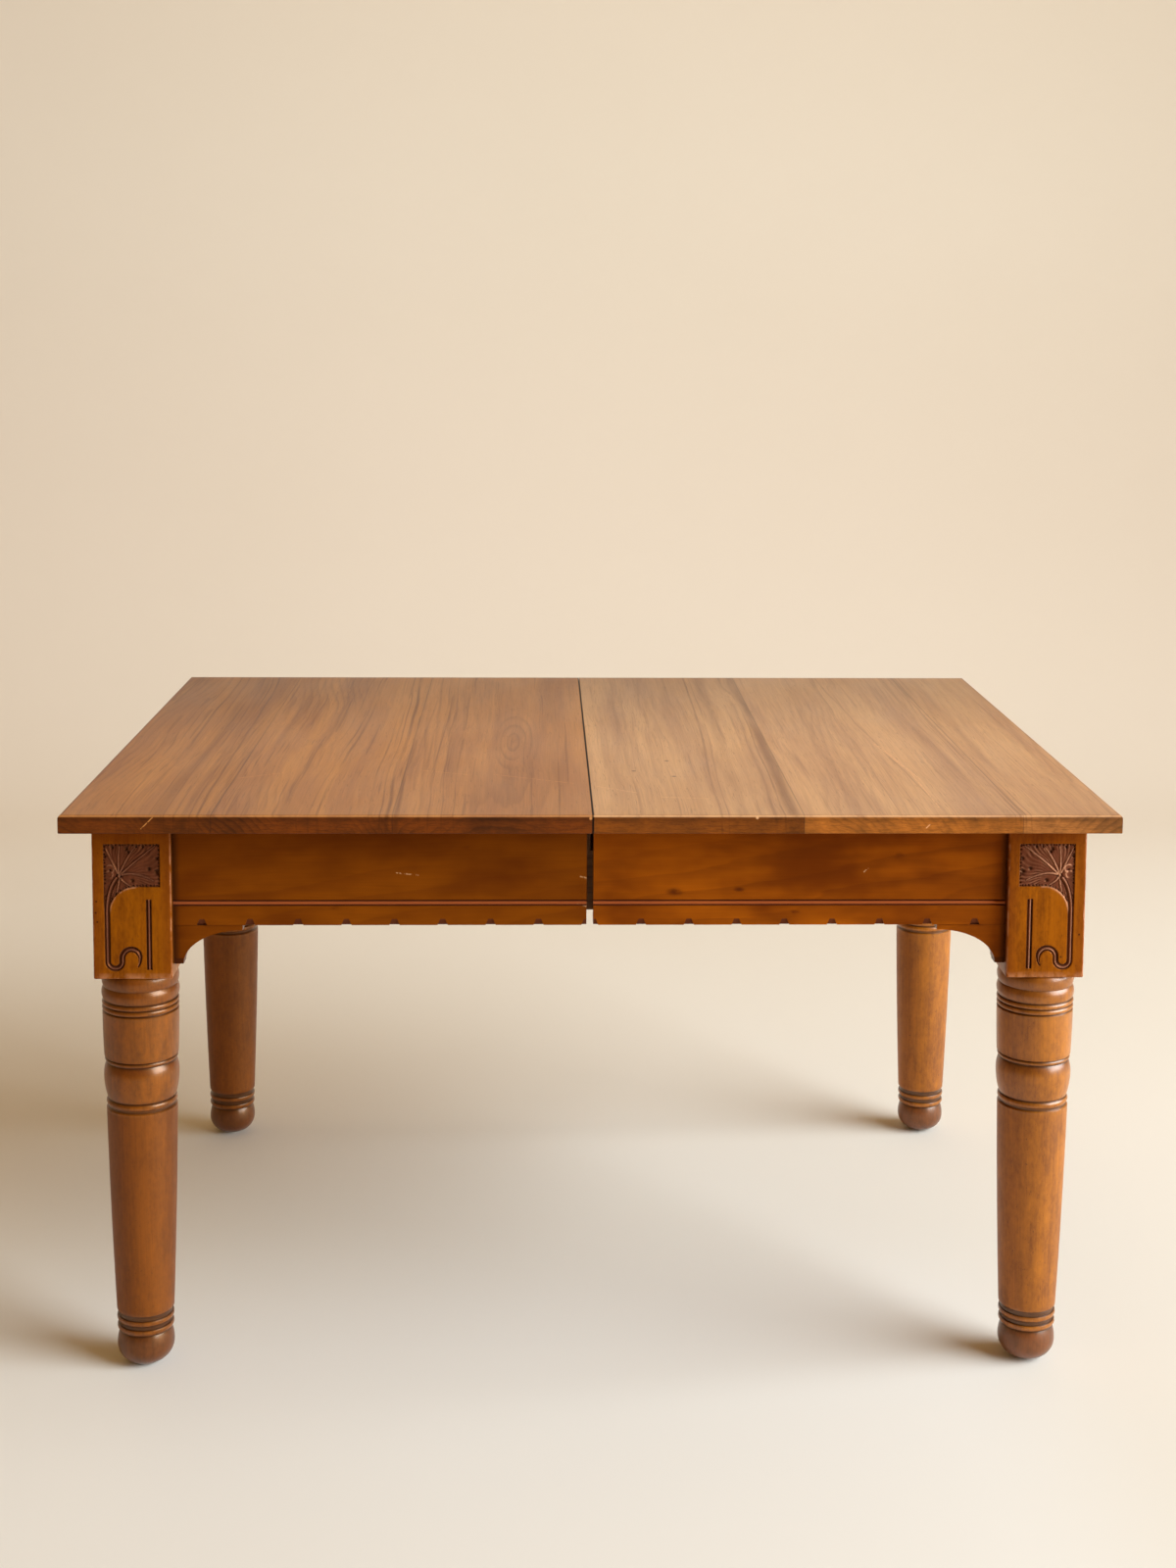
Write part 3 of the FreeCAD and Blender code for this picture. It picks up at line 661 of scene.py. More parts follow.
def apron_marks(place, parts, front):
    """Dark knots and pale scratches of a front apron."""
    graph = place.graph
    flat = graph.combine(parts[0], parts[2] * knot_flatness, 0.0)
    knots = [
        flat.distance((x, knot_flatness * z, 0.0)).smooth(radius, radius * 0.15)
        for x, z, radius in apron_knots
    ]
    ragged = place.noise(90.0, 40.0, 3.0, 0.6).smooth(0.34, 0.60)
    graph.paint(most(*knots) * ragged * 0.9, linear(74, 28, 6))
    lines = [
        scratch(graph.place(), *[(x, front, z) for x, z in ends], apron_scratch_width)
        for ends in apron_scratches
    ]
    graph.paint(most(*lines) * 0.5, linear(234, 184, 128))


def finish_wood(name, order, face, corner, bead_height, marks, light, dark):
    """Stained, polished wood, darker in the recesses of its face from pooled finish and painted shade, with
    painted shade by the leg blocks and under the top.

    The face and the corner with the block are each an (axis, place).
    """
    graph = Graph(bpy.data.materials.new(name))
    place = wood_place(graph, order)
    parts = graph.place().parts()
    grain = bent_place(place, apron_sway)
    fine = fibres(grain)
    tone = grain.noise(15.0, 2.5, 3.0, 0.6) + place.noise(13.0, 8.0, 3.0, 0.55)
    graph.colour = graph.mix(tone.smooth(0.72, 1.28), linear(*light), linear(*dark))
    graph.paint(growth_rings(grain, (0.45, 0.30), 0.05, 0.010) * 0.34, linear(84, 33, 5))
    graph.colour = graph.shade(graph.colour, fine, 0.10)
    # Painted shade at the apron's ends, by the leg blocks
    to_block = corner[1] - abs(parts[corner[0]])
    graph.paint(to_block.smooth(*block_corner_shade) * 0.75, linear(40, 16, 6))
    graph.paint(parts[2].smooth(*under_top_shade) * 0.35, linear(*dark))
    if marks:
        apron_marks(place, parts, -face[1])
    sunk = face[1] - abs(parts[face[0]])
    if bead_height:
        # Painted highlight along the bead
        bead = abs(parts[2] - bead_height).smooth(*bead_width) * sunk.smooth(*bead_depth)
        graph.paint(bead * 0.6, linear(176, 92, 52))
    else:
        joint = (bracket_top - parts[2]).smooth(*bracket_joint)
        foot = (parts[2] - bracket_foot).smooth(*bracket_edge)
        graph.paint(most(joint, foot) * 0.75, linear(46, 20, 12))
    # Recesses darker from pooled finish and painted shade
    graph.paint(sunk.smooth(*recess_step) * 0.85, linear(70, 32, 22))
    gloss = place.noise(20.0, 8.0, 3.0).spread(0.24, 0.42)
    graph.set(Base_Color=graph.colour, Roughness=gloss, Normal=graph.bump(fine, 0.0001, 0.4))
    graph.set(Specular_IOR_Level=0.40, Specular_Tint=finish_sheen)
    return graph.owner


# Small dark holes in the front faces of the blocks, as (x, y, z)
block_holes = (
    (0.605, -0.450, 0.5605), (-0.630, -0.450, 0.6346), (-0.631, -0.450, 0.6200), (-0.629, -0.450, 0.6080),
    (0.628, -0.450, 0.5900), (-0.592, -0.450, 0.6960),
)
# Leg woods: light and dark of the turning, the block, the ball foot and the carved ground; the left legs'
# are darker, from their wood and from painted shade
leg_looks = {
    "left": (
        (139, 73, 12), (85, 40, 7), (150, 82, 6), (99, 47, 4), (110, 56, 22), (60, 28, 11),
        (103, 55, 35), (74, 37, 23),
    ),
    "right": (
        (177, 102, 17), (119, 61, 9), (158, 85, 8), (99, 47, 4), (125, 66, 27), (73, 36, 14),
        (112, 61, 41), (81, 40, 26),
    ),
}
# How pale the carving's crests are from rubbing and painted highlight, how much darker and redder the long
# shafts from stain and painted shade, and the sheen's tint
carved_wear_and_highlight = {"left": 0.24, "right": 0.80}
shaft_stain_and_shade = {"left": 0.35, "right": 0.05}
leg_sheen = {"left": (255, 190, 120), "right": (255, 213, 176)}
# Marks and painted shade of the legs: widths and soft steps, each step as (none, all)
leg_sway = 0.035
neck_stain = (0.494, 0.508)
shoulder_rise = (0.396, 0.410)
shoulder_fall = (0.416, 0.413)
shaft_top = (0.352, 0.346)
shaft_foot = (0.074, 0.080)
ball_top = (0.052, 0.044)
block_step = (block_bottom - 0.004, block_bottom + 0.001)
block_shade = (0.690, 0.730)
block_side_shade = (0.030, 0.048)
apron_corner_shade = (0.0012, 0.0004)
corner_shade_edge = (0.004, 0.009)
corner_shade_rise = 0.003
block_hole_radius = 0.0018


def leg_corner_shade(aside, height):
    """Painted shade on a block where the aprons meet it, 0 to 1."""
    inner_step = [gap - leg_half for gap in apron_corner_shade]
    outer_step = [leg_half - gap for gap in corner_shade_edge]
    by_apron = [
        inner.smooth(*inner_step) * outer.smooth(*outer_step) for inner, outer in (aside, aside[::-1])
    ]
    return most(*by_apron) * height.smooth(bracket_foot, bracket_foot + corner_shade_rise)


def leg_wood(side):
    """Turned and carved wood with upright grain, dark in its grooves, with painted shade on the blocks and
    pale carved crests and arrises from rubbing and painted highlight.
    """
    looks = [linear(*colour) for colour in leg_looks[side]]
    graph = Graph(bpy.data.materials.new(side + "_leg_wood"))
    place = wood_place(graph, "XZY")
    parts = graph.place().parts()
    height = parts[2]
    grain = bent_place(place, leg_sway)
    fine = fibres(grain)
    blotch = place.noise(70.0, 26.0, 4.0, 0.65)
    mottle = place.noise(240.0, 110.0, 4.0, 0.65)
    streaks = grain.noise(230.0, 6.0, 3.0, 0.6).smooth(0.42, 0.70)
    tone = grain.noise(20.0, 4.0, 3.0, 0.6) * 0.7 + blotch * 0.6 + mottle * 0.55
    share = tone.smooth(0.63, 1.31) + streaks * 0.20
    graph.colour, block, ball, leaf = (graph.mix(share, *looks[at:at + 2]) for at in (0, 2, 4, 6))
    shoulder = height.band(shoulder_rise, shoulder_fall)
    graph.paint(most(height.smooth(*neck_stain) * 0.35, shoulder * 0.55), linear(86, 34, 14))
    on_block = height.smooth(*block_step)
    graph.paint(on_block, block)
    on_shaft = height.band(shaft_top, shaft_foot)
    # The long shafts darker and redder, most on the left legs: stain and painted shade
    graph.paint(on_shaft * shaft_stain_and_shade[side], linear(90, 36, 12))
    graph.paint(height.smooth(*ball_top), ball)
    rings = growth_rings(graph.vector("ABSOLUTE", grain), (0.30, 0.20), 0.05, 0.0085)
    graph.paint(rings * 0.14, linear(96, 46, 16))
    aside = [abs(parts[axis]) - leg_place[axis] for axis in (0, 1)]
    by_edge = graph.math("MINIMUM", *[abs(gap) for gap in aside]).smooth(*block_side_shade)
    shaded = most(height.smooth(*block_shade) * 0.60, by_edge * 0.42)
    graph.paint(shaded * on_block, linear(104, 42, 12))
    carved = graph.attribute("carved")
    graph.paint(carved, leaf)
    graph.colour = graph.shade(graph.colour, fine, 0.12)
    graph.paint(place.noise(420.0, 240.0).smooth(0.66, 0.74) * 0.6, linear(70, 32, 14))
    # Painted shade on the blocks' inner sides, by the aprons
    graph.paint(leg_corner_shade(aside, height) * 0.85, linear(40, 16, 6))
    graph.paint(graph.attribute("stain") * 0.95, linear(36, 15, 9))
    holes = [spot(graph.place(), centre, block_hole_radius) for centre in block_holes]
    graph.paint(most(*holes) * 0.85, linear(40, 16, 8))
    patchy = place.noise(90.0, 60.0, 3.0, 0.6).smooth(0.34, 0.60)
    # Pale crests and arrises: rubbing and painted highlight, strongest on the right legs' carving where the
    # light falls
    wear_and_highlight = graph.attribute("wear_and_highlight") * most(patchy, carved)
    graph.paint(wear_and_highlight * carved.spread(0.80, carved_wear_and_highlight[side]), linear(222, 158, 116))
    gloss = on_shaft * 0.14 + blotch.spread(0.30, 0.44)
    graph.set(Base_Color=graph.colour, Roughness=gloss, Normal=graph.bump(fine, 0.0001, 0.35))
    graph.set(Specular_IOR_Level=on_block.spread(0.80, 0.40))
    graph.set(Specular_Tint=graph.mix(on_block, linear(*leg_sheen[side]), finish_sheen))
    graph.set(Coat_Weight=on_block.spread(1.0, 0.0) * on_shaft.spread(0.32, 0.10))
    graph.set(Coat_Roughness=mottle.spread(0.12, 0.28))
    return graph.owner


def slide_wood(name, order):
    """Plain unfinished hardwood of the hidden slides."""
    graph = Graph(bpy.data.materials.new(name))
    place = wood_place(graph, order)
    rings = growth_rings(place, (0.30, 0.20), 0.03, 0.008)
    broad = place.noise(18.0, 2.0, 3.0, 0.6)
    fine = fibres(place)
    tone = rings * 0.4 + broad.spread(-0.3, 0.7) + fine.spread(-0.25, 0.25)
    graph.colour = graph.mix(tone.smooth(-0.1, 1.1), linear(158, 104, 58), linear(104, 62, 32))
    graph.paint(pores(place) * 0.5, linear(62, 36, 18))
    gloss = broad.spread(0.5, 0.7)
    graph.set(Base_Color=graph.colour, Roughness=gloss, Normal=graph.bump(fine, 0.0003, 0.5))
    return graph.owner


def screw_steel():
    """Old drawn steel with a brown bloom."""
    graph = Graph(bpy.data.materials.new("screw_steel"))
    place = graph.place()
    bloom = place.noise(260.0, 260.0, 4.0, 0.6).smooth(0.42, 0.66)
    graph.set(Base_Color=graph.mix(bloom, linear(150, 146, 140), linear(112, 82, 60)))
    graph.set(Roughness=bloom.spread(0.32, 0.62), Metallic=bloom.spread(1.0, 0.35))
    graph.set(Normal=graph.bump(place.noise(1500.0, 1500.0, into=200.0), 0.00005, 0.5))
    return graph.owner


def glide_felt():
    """Pale pressed felt."""
    graph = Graph(bpy.data.materials.new("glide_felt"))
    place = graph.place()
    fuzz = place.noise(1400.0, 1400.0, 4.0, 0.7)
    dirt = place.noise(120.0, 120.0, 3.0, 0.6).smooth(0.35, 0.75)
    graph.colour = graph.mix(dirt, linear(226, 218, 204), linear(178, 166, 148))
    graph.paint(fuzz.spread(0.0, 0.3), linear(200, 190, 174))
    graph.set(Base_Color=graph.colour, Roughness=fuzz.spread(0.85, 1.0))
    graph.set(Normal=graph.bump(fuzz, 0.0004, 0.7), Sheen_Weight=0.3)
    return graph.owner


# Mesh helpers
def mesh_piece(name, points, faces, attributes, material):
    """An object from points and faces, with named values at its points."""
    mesh = bpy.data.meshes.new(name)
    mesh.from_pydata([tuple(point) for point in points], [], [tuple(face) for face in faces])
    for key, values in attributes.items():
        mesh.attributes.new(key, "FLOAT", "POINT").data.foreach_set("value", np.asarray(values, np.float32))
    mesh.materials.append(material)
    mesh.shade_smooth()
    mesh.update()
    piece = bpy.data.objects.new(name, mesh)
    bpy.context.scene.collection.objects.link(piece)
    return piece


def ring_faces(rows, columns, start):
    """Quads between rows of points that close on themselves, counted from a first point."""
    made = []
    for row in range(rows - 1):
        for column in range(columns):
            after = (column + 1) % columns
            low = start + row * columns
            high = low + columns
            made.append((low + column, low + after, high + after, high + column))
    return made


def step_up(value, low, high):
    """A soft step from 0 at low to 1 at high."""
    share = np.clip((value - low) / (high - low), 0, 1)
    return share * share * (3 - 2 * share)


def round_angles(sides):
    return np.linspace(0, 2 * math.pi, sides, endpoint=False)


def lathe(rows, angles, first, uneven=1.0):
    """Points and faces of rings, each a (radius, height), closed at the first ring."""
    circle = np.column_stack((np.cos(angles) * uneven, np.sin(angles) * uneven))
    rings = [np.column_stack((radius * circle, np.full(len(angles), height))) for radius, height in rows]
    faces = ring_faces(len(rows), len(angles), first)
    faces.append(tuple(range(first + len(angles) - 1, first - 1, -1)))
    return np.vstack(rings), faces


def bell(gap, width):
    """A soft bump, 1 where there is no gap."""
    return np.exp(-(gap / width) ** 2)


# Legs
def curve_points(start, end, swell):
    """Points of one curve of the turning after its start; a positive swell bulges outwards."""
    chord = end - start
    length = float(np.hypot(*chord))
    step = turning_long_step if length > turning_long_curve else turning_step
    count = max(2, int(math.ceil(length / step)))
    shares = np.linspace(0, 1, count + 1)[1:]
    if swell == 0:
        return start + shares[:, None] * chord
    outward = np.array((chord[1], -chord[0])) * -1 / length
    half_angle = 2 * math.atan(2 * abs(swell))
    radius = length / 2 / math.sin(half_angle)
    middle = (start + end) / 2
    sign = math.copysign(1, swell)
    centre = middle - outward * sign * radius * math.cos(half_angle)
    angles = (shares * 2 - 1) * half_angle
    along = chord / length
    return centre + radius * (np.sin(angles)[:, None] * along + np.cos(angles)[:, None] * outward * sign)


def turned_profile():
    """Radius and height of the turning from the block down, and how dark its grooves are stained."""
    points = [np.array((turning_start[1], turning_start[0]))]
    coves = [0.0]
    corners = []
    for height, radius, swell in turning_rows:
        run = curve_points(points[-1], np.array((radius, height)), swell)
        corners.append(len(points) - 1)
        points.extend(run)
        coves.extend([cove_stain if swell < 0 else 0.0] * len(run))
    points = np.array(points)
    stain = np.array(coves)
    for count, corner in enumerate(corners[1:]):
        before = points[corner] - points[corner - 1]
        after = points[corner + 1] - points[corner]
        turn = math.atan2(before[0] * after[1] - before[1] * after[0], float(before @ after))
        if turn > groove_angle:
            gap = np.hypot(*(points - points[corner]).T)
            dark = min(1, turn / groove_full_angle) * (neck_share if count == 0 else 1)
            stain = np.maximum(stain, dark * bell(gap, groove_reach))
    return points, stain


def bent_line(start, middle, end, count):
    """Points of a simple curve that leaves its start and reaches its end by way of a middle pull."""
    share = np.linspace(0, 1, count)[:, None]
    start, middle, end = (np.array(point) for point in (start, middle, end))
    return (1 - share) ** 2 * start + 2 * share * (1 - share) * middle + share ** 2 * end


def arc_line(centre, radius, first, last, count):
    angles = np.linspace(first, last, count)
    return np.column_stack((centre[0] + radius * np.cos(angles), centre[1] + radius * np.sin(angles)))


def stem_line():
    """The centre of the stem, from the leaf's heart down to the tip of its hook."""
    limb = turn_centre[0] + turn_radius
    hook_end = (hook_centre[0] + hook_radius, hook_centre[1])
    return np.vstack((
        bent_line(*stem_head, 60),
        bent_line(stem_head[2], (stem_head[2][0], stem_pull), (stem_head[2][0], stem_foot), 90),
        arc_line(turn_centre, turn_radius, math.pi, 2 * math.pi, 50),
        bent_line((limb, stem_foot), (limb, stem_foot), (limb, hook_centre[1]), 8),
        arc_line(hook_centre, hook_radius, math.pi, 0, 60),
        bent_line(hook_end, (hook_end[0], hook_tip[1] + hook_pull), hook_tip, 20),
    ))


def nearest(u, z, line):
    """Distance from points to a line, and the share of the line at which they are nearest."""
    best = np.full(u.shape, np.inf)
    share = np.zeros(u.shape)
    for index, (line_u, line_z) in enumerate(line):
        gap = (u - line_u) ** 2 + (z - line_z) ** 2
        closer = gap < best
        best[closer] = gap[closer]
        share[closer] = index / (len(line) - 1)
    return np.sqrt(best), share


def leaf_relief(u, z):
    """Height of the leaf above the sunk ground, the crests made pale by rubbing and painted highlight, and
    the dark cuts between them.
    """
    across = u - leaf_heart[0]
    up = z - leaf_heart[1]
    reach = np.hypot(across, up)
    angle = np.arctan2(up, across)
    wave = angle * gouge_count + 1.9 * np.sin(reach * 190) + 1.7 * np.sin(angle * 5 + 1)
    fan = (0.5 + 0.5 * np.cos(wave)) ** 1.5
    cut = gouge_height * step_up(reach, *gouge_start) * (0.65 + 0.35 * np.sin(angle * 11 + reach * 400))
    patches = 0.3 + 0.7 * step_up(np.sin(angle * 6.5 + 2) + np.sin(reach * 260 + angle * 3), -0.4, 0.9)
    relief = leaf_height - cut * patches * (1 - fan)
    crest = 0.30 * patches * fan ** 3 * step_up(reach, *crest_start)
    groove = 0.60 * patches * (1 - fan) ** 6 * step_up(reach, *cut_start)
    closest = np.full(u.shape, np.inf)
    for pull, tip in leaf_veins:
        gap, share = nearest(u, z, bent_line(leaf_heart, pull, tip, 50))
        width = vein_width * (1.1 - 0.4 * share)
        vein = bell(gap, width)
        beside = bell(gap - 2.4 * width, width)
        relief = relief + vein_height * (1 - 0.3 * share) * vein - 0.5 * vein_height * beside
        crest = np.maximum(crest, vein * (1 - 0.45 * share))
        groove = np.maximum(groove * (1 - vein), 0.6 * beside)
        closest = np.minimum(closest, gap)
    relief = relief - leaf_sag * (1 - bell(closest, sag_reach))
    for ring_u, ring_z, radius in lobe_rings:
        rim = bell(np.hypot(u - ring_u, z - ring_z) - radius, vein_width)
        rim = rim * step_up(u - ring_u + 0.6 * (z - ring_z), *lobe_start)
        relief = relief + 0.8 * vein_height * rim
        crest = np.maximum(crest, 0.9 * rim)
    for pit_u, pit_z, size in leaf_pits:
        hole = bell(np.hypot(u - pit_u, z - pit_z), pit_radius * size)
        relief = relief - pit_depth * hole
        crest = crest * (1 - hole)
        groove = np.maximum(groove, hole)
    return relief, crest, groove


def inside_box(u, z, low, high):
    """How far places lie inside a box of a face, across and up."""
    return np.minimum(u - low[0], high[0] - u), np.minimum(z - low[1], high[1] - z)


def stem_cut(u, z):
    """The stem's channel and the rib in it, each 0 to 1."""
    line = stem_line()
    gap, share = nearest(u, z, line)
    taper = np.clip((1 - share) * stem_length / tip_length, 0, 1)
    width = stem_tip_half_width + (stem_half_width - stem_tip_half_width) * taper
    way = np.gradient(line, axis=0)
    way = way / np.maximum(np.hypot(way[:, :1], way[:, 1:]), 1e-9)
    ridge_line = line + stem_ridge_offset * np.column_stack((way[:, 1], -way[:, 0]))
    rib = bell(nearest(u, z, ridge_line)[0], stem_ridge_width * (0.35 + 0.65 * taper))
    return step_up(width - gap, 0, channel_slope), rib


def carve(u, z):
    """Depth below a block's face, dark stain, carved ground, and paleness from rubbing and painted
    highlight at places on the face.
    """
    panel_across, panel_up = inside_box(u, z, panel_low, panel_high)
    sweep_low = (panel_low[0], sweep_centre[1])
    sweep_high = (sweep_centre[0], panel_low[1] + sweep_overlap)
    round_gap = np.hypot(u - sweep_centre[0], z - sweep_centre[1]) - sweep_radius
    sweep = np.minimum(np.minimum(*inside_box(u, z, sweep_low, sweep_high)), round_gap)
    inside = np.maximum(np.minimum(panel_across, panel_up), sweep)
    ground = step_up(inside, 0, ground_slope)
    run = np.where(panel_across < panel_up, z, u)
    notch = (0.5 + 0.5 * np.cos(run * math.tau / notch_spacing + 1.3 * np.sin(run * 310))) ** 2
    notch = notch * notch_reach
    border = step_up(inside, border_start + notch, border_end + 1.3 * notch)
    relief, crest, groove = leaf_relief(u, z)
    depth = ground * (ground_depth - border * relief)
    channel, rib = stem_cut(u, z)
    depth = np.where(channel > 0, np.maximum(depth * (1 - channel), stem_depth * channel), depth)
    depth = depth - channel * stem_ridge * rib
    wear_and_highlight = crest * border * ground * (1 - channel) + channel * rib_wear_and_highlight * rib ** 3
    lip = bell(round_gap, lip_width) * step_up(np.abs(z - sweep_centre[1]), *lip_end)
    lip = lip * step_up(z - sweep_centre[1], *lip_rise) * step_up(sweep_centre[0] - u, *lip_reach)
    wear_and_highlight = np.maximum(wear_and_highlight, 0.8 * lip)
    reed = step_up(np.minimum(*inside_box(u, z, reed_low, reed_high)), 0, reed_slope)
    reed_rib = bell(u - (reed_low[0] + reed_high[0]) / 2, stem_ridge_width)
    depth = depth + reed * (stem_depth - stem_ridge * reed_rib)
    wear_and_highlight = np.maximum(wear_and_highlight, reed * rib_wear_and_highlight * reed_rib ** 3)
    depth = np.clip(depth, 0, ground_depth + pit_floor)
    carved = np.maximum(ground, np.maximum(channel, reed))
    stain = np.maximum(step_up(depth, *stain_depth), groove * ground * (1 - channel)) * carved
    return depth, stain, carved, wear_and_highlight


def wobble(values, seed):
    """A smooth uneven run of about -1 to 1."""
    rates = ((71, 0.5), (193, 0.3), (437, 0.2))
    return sum(
        share * np.sin(values * rate + seed * (index + 1.7)) for index, (rate, share) in enumerate(rates)
    )


def block_outline(half):
    """Points round a block, outward directions, the carved face of each, and the dent seed of an arris."""
    flat = half - block_arris
    sides = np.array((block_arris, *margin_places))
    count = int((2 * half - 2 * carved_margin) / carved_step)
    dense = np.linspace(carved_margin, 2 * half - carved_margin, count)
    carved = np.concatenate((sides, dense, 2 * half - sides[::-1]))
    plain = np.linspace(block_arris, 2 * half - block_arris, int(2 * half / plain_step))
    rows = []
    for turn, places, face in ((0, carved, 1), (1, plain, 0), (2, plain, 0), (3, carved, 2)):
        angle = turn * math.pi / 2
        way = np.array((math.cos(angle), math.sin(angle)))
        out = np.array((way[1], -way[0]))
        rows += [(way * (place - half) + out * half, out, face, 0) for place in places]
        corner = (way + out) * flat
        for step in (1, 2, 3):
            bend = angle - math.pi / 2 + step * math.pi / 8
            lean = np.array((math.cos(bend), math.sin(bend)))
            rows.append((corner + lean * block_arris, lean, 0, turn + 1))
    return rows, carved


def block_mesh(half, top, seed):
    """Points, faces and looks of a block, closed at its top, and how many points go round it."""
    outline, places = block_outline(half)
    base, out, face, arris = (np.array(column) for column in zip(*outline))
    bends = np.linspace(0, math.pi / 2, arris_rows)
    levels = [
        (block_bottom + block_arris * (1 - math.cos(bend)), block_arris * (1 - math.sin(bend)))
        for bend in bends
    ]
    heights = (*np.arange(carved_low, carved_high, carved_step), *plain_heights, top)
    levels += [(height, 0.0) for height in heights]
    level_heights, insets = np.array(levels).T
    fields = carve(*np.meshgrid(places, level_heights))
    depth, stain, carved, wear_and_highlight = (np.zeros((len(levels), len(outline))) for field in fields)
    for target, field in zip((depth, stain, carved, wear_and_highlight), fields):
        target[:, face == 1] = field
        target[:, face == 2] = field[:, ::-1]
    # Pale arrises, from rubbing and painted highlight
    for corner in (1, 2, 3, 4):
        dent = np.clip(wobble(level_heights, seed + dent_corner_step * corner) - dent_start, 0, 1)[:, None]
        depth[:, arris == corner] += dent * block_dent
        wear_and_highlight[:, arris == corner] = 0.35 + 0.5 * dent
    wear_and_highlight[:arris_rows] = np.maximum(wear_and_highlight[:arris_rows], 0.4)
    ring = base[None] - out[None] * (insets[:, None] + depth)[:, :, None]
    upright = np.broadcast_to(level_heights[:, None, None], depth.shape + (1,))
    points = np.concatenate((ring, upright), axis=2).reshape(-1, 3)
    faces = ring_faces(len(levels), len(outline), 0)
    faces.append(tuple(range(len(points) - len(outline), len(points))))
    return points, faces, (stain, carved, wear_and_highlight), len(outline)


def leg(name, node, body, material, seed):
    """One leg: a carved block on a turned shaft, mirrored to face its own corner."""
    low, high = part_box(node)
    centre = (Vector(low) + Vector(high)) / 2
    block_points, faces, (stain, carved, wear_and_highlight), columns = block_mesh(leg_half, high[2], seed)
    profile, groove_stain = turned_profile()
    turned_points, turned_faces = lathe(profile[::-1], round_angles(turning_sides), len(block_points))
    points = np.vstack((block_points, turned_points))
    faces += turned_faces
    mirror = np.array((-1.0 if centre.x > 0 else 1.0, -1.0 if centre.y > 0 else 1.0))
    points[:, :2] = points[:, :2] * mirror + np.array((centre.x, centre.y))
    if mirror[0] * mirror[1] < 0:
        faces = [face[::-1] for face in faces]
    bare = np.zeros(len(turned_points))
    attributes = {
        "stain": np.concatenate((stain.ravel(), np.repeat(groove_stain[::-1], turning_sides))),
        "carved": np.concatenate((carved.ravel(), bare)),
        "wear_and_highlight": np.concatenate((wear_and_highlight.ravel(), bare)),
    }
    piece = mesh_piece(name, points, faces, attributes, material)
    close_block(piece, columns, len(points) - turning_sides)
    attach(piece, body)
    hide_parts(node)


def close_block(piece, columns, last_ring):
    """Fills the underside of the block between its edge and the top of the turning."""
    edit = bmesh.new()
    edit.from_mesh(piece.data)
    edit.verts.ensure_lookup_table()
    loops = [list(range(columns)), list(range(last_ring, last_ring + turning_sides))]
    edges = []
    for loop in loops:
        for first, second in zip(loop, loop[1:] + loop[:1]):
            edges.append(edit.edges.get((edit.verts[first], edit.verts[second])))
    bmesh.ops.triangle_fill(edit, use_beauty=True, edges=edges)
    bmesh.ops.recalc_face_normals(edit, faces=edit.faces)
    edit.to_mesh(piece.data)
    edit.free()
    piece.data.set_sharp_from_angle(angle=sharp_angle)


# Glides
def glide(name, node, body, material):
    """A felt disc with a soft rounded rim, pressed flat under the foot."""
    low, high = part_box(node)
    centre = (Vector(low) + Vector(high)) / 2
    radius = (high[0] - low[0]) / 2
    rim = (high[2] - low[2]) / 2
    rows = [
        (radius - rim + rim * math.cos(bend), low[2] + rim + rim * math.sin(bend))
        for bend in np.linspace(-math.pi / 2, math.pi / 2, glide_rows)
    ]
    angles = round_angles(glide_sides)
    uneven = 1 - glide_waver * (1 + np.sin(angles * 5 + centre.x) * np.sin(angles * 3 + centre.y))
    points, faces = lathe(rows, angles, 0, uneven)
    points[:, :2] += (centre.x, centre.y)
    faces.append(tuple(range(len(points) - glide_sides, len(points))))
    piece = mesh_piece(name, points, faces, {}, material)
    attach(piece, body)
    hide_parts(node)


def dress(node, material, soften=0.0):
    """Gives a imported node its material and, where asked, slightly rounded edges."""
    piece = nodes[node]
    piece.data.materials.clear()
    piece.data.materials.append(material)
    if soften:
        rounding = piece.modifiers.new("worn_edges", "BEVEL")
        rounding.width = soften
        rounding.segments = 2
        rounding.limit_method = "ANGLE"
        rounding.angle_limit = soften_angle


# Stage, light and camera
def stage():
    """A pale floor that curves up into a backdrop."""
    rows = [(floor_front, 0.0)]
    for bend in np.linspace(0, math.pi / 2, 24):
        rows.append((floor_back + cove_radius * math.sin(bend), cove_radius * (1 - math.cos(bend))))
    rows.append((floor_back + cove_radius, wall_height))
    points = [(side * stage_half_width, y, z) for y, z in rows for side in (-1, 1)]
    faces = [(2 * row, 2 * row + 1, 2 * row + 3, 2 * row + 2) for row in range(len(rows) - 1)]
    graph = Graph(bpy.data.materials.new("stage_paper"))
    place = graph.place()
    shade = place.noise(0.8, 0.8)
    across, along, height = place.parts()
    middle, near, lower, upper = (
        graph.mix(shade, *[linear(*tone) for tone in tones]) for tones in stage_tones
    )
    # Painted light: the floor in front of the table and the upper wall are lighter
    ground = graph.mix(along.smooth(*near_floor_light) * across.smooth(*near_floor_light_side), middle, near)
    wall = graph.mix(height.smooth(*upper_wall_light), lower, upper)
    colour = graph.mix(along.smooth(wall_start, floor_back + cove_radius), ground, wall)
    graph.set(Base_Color=colour, Roughness=0.9, Specular_IOR_Level=0.1)
    piece = mesh_piece("backdrop", points, faces, {}, graph.owner)


def lamp(name, place, target, size, power, colour, spread):
    data = bpy.data.lights.new(name, "AREA")
    data.shape = "RECTANGLE"
    data.size, data.size_y = size
    data.energy = power
    data.color = colour
    data.spread = math.radians(spread)
    piece = bpy.data.objects.new(name, data)
    piece.location = place
    piece.rotation_euler = (Vector(target) - Vector(place)).to_track_quat("-Z", "Y").to_euler()
    bpy.context.scene.collection.objects.link(piece)


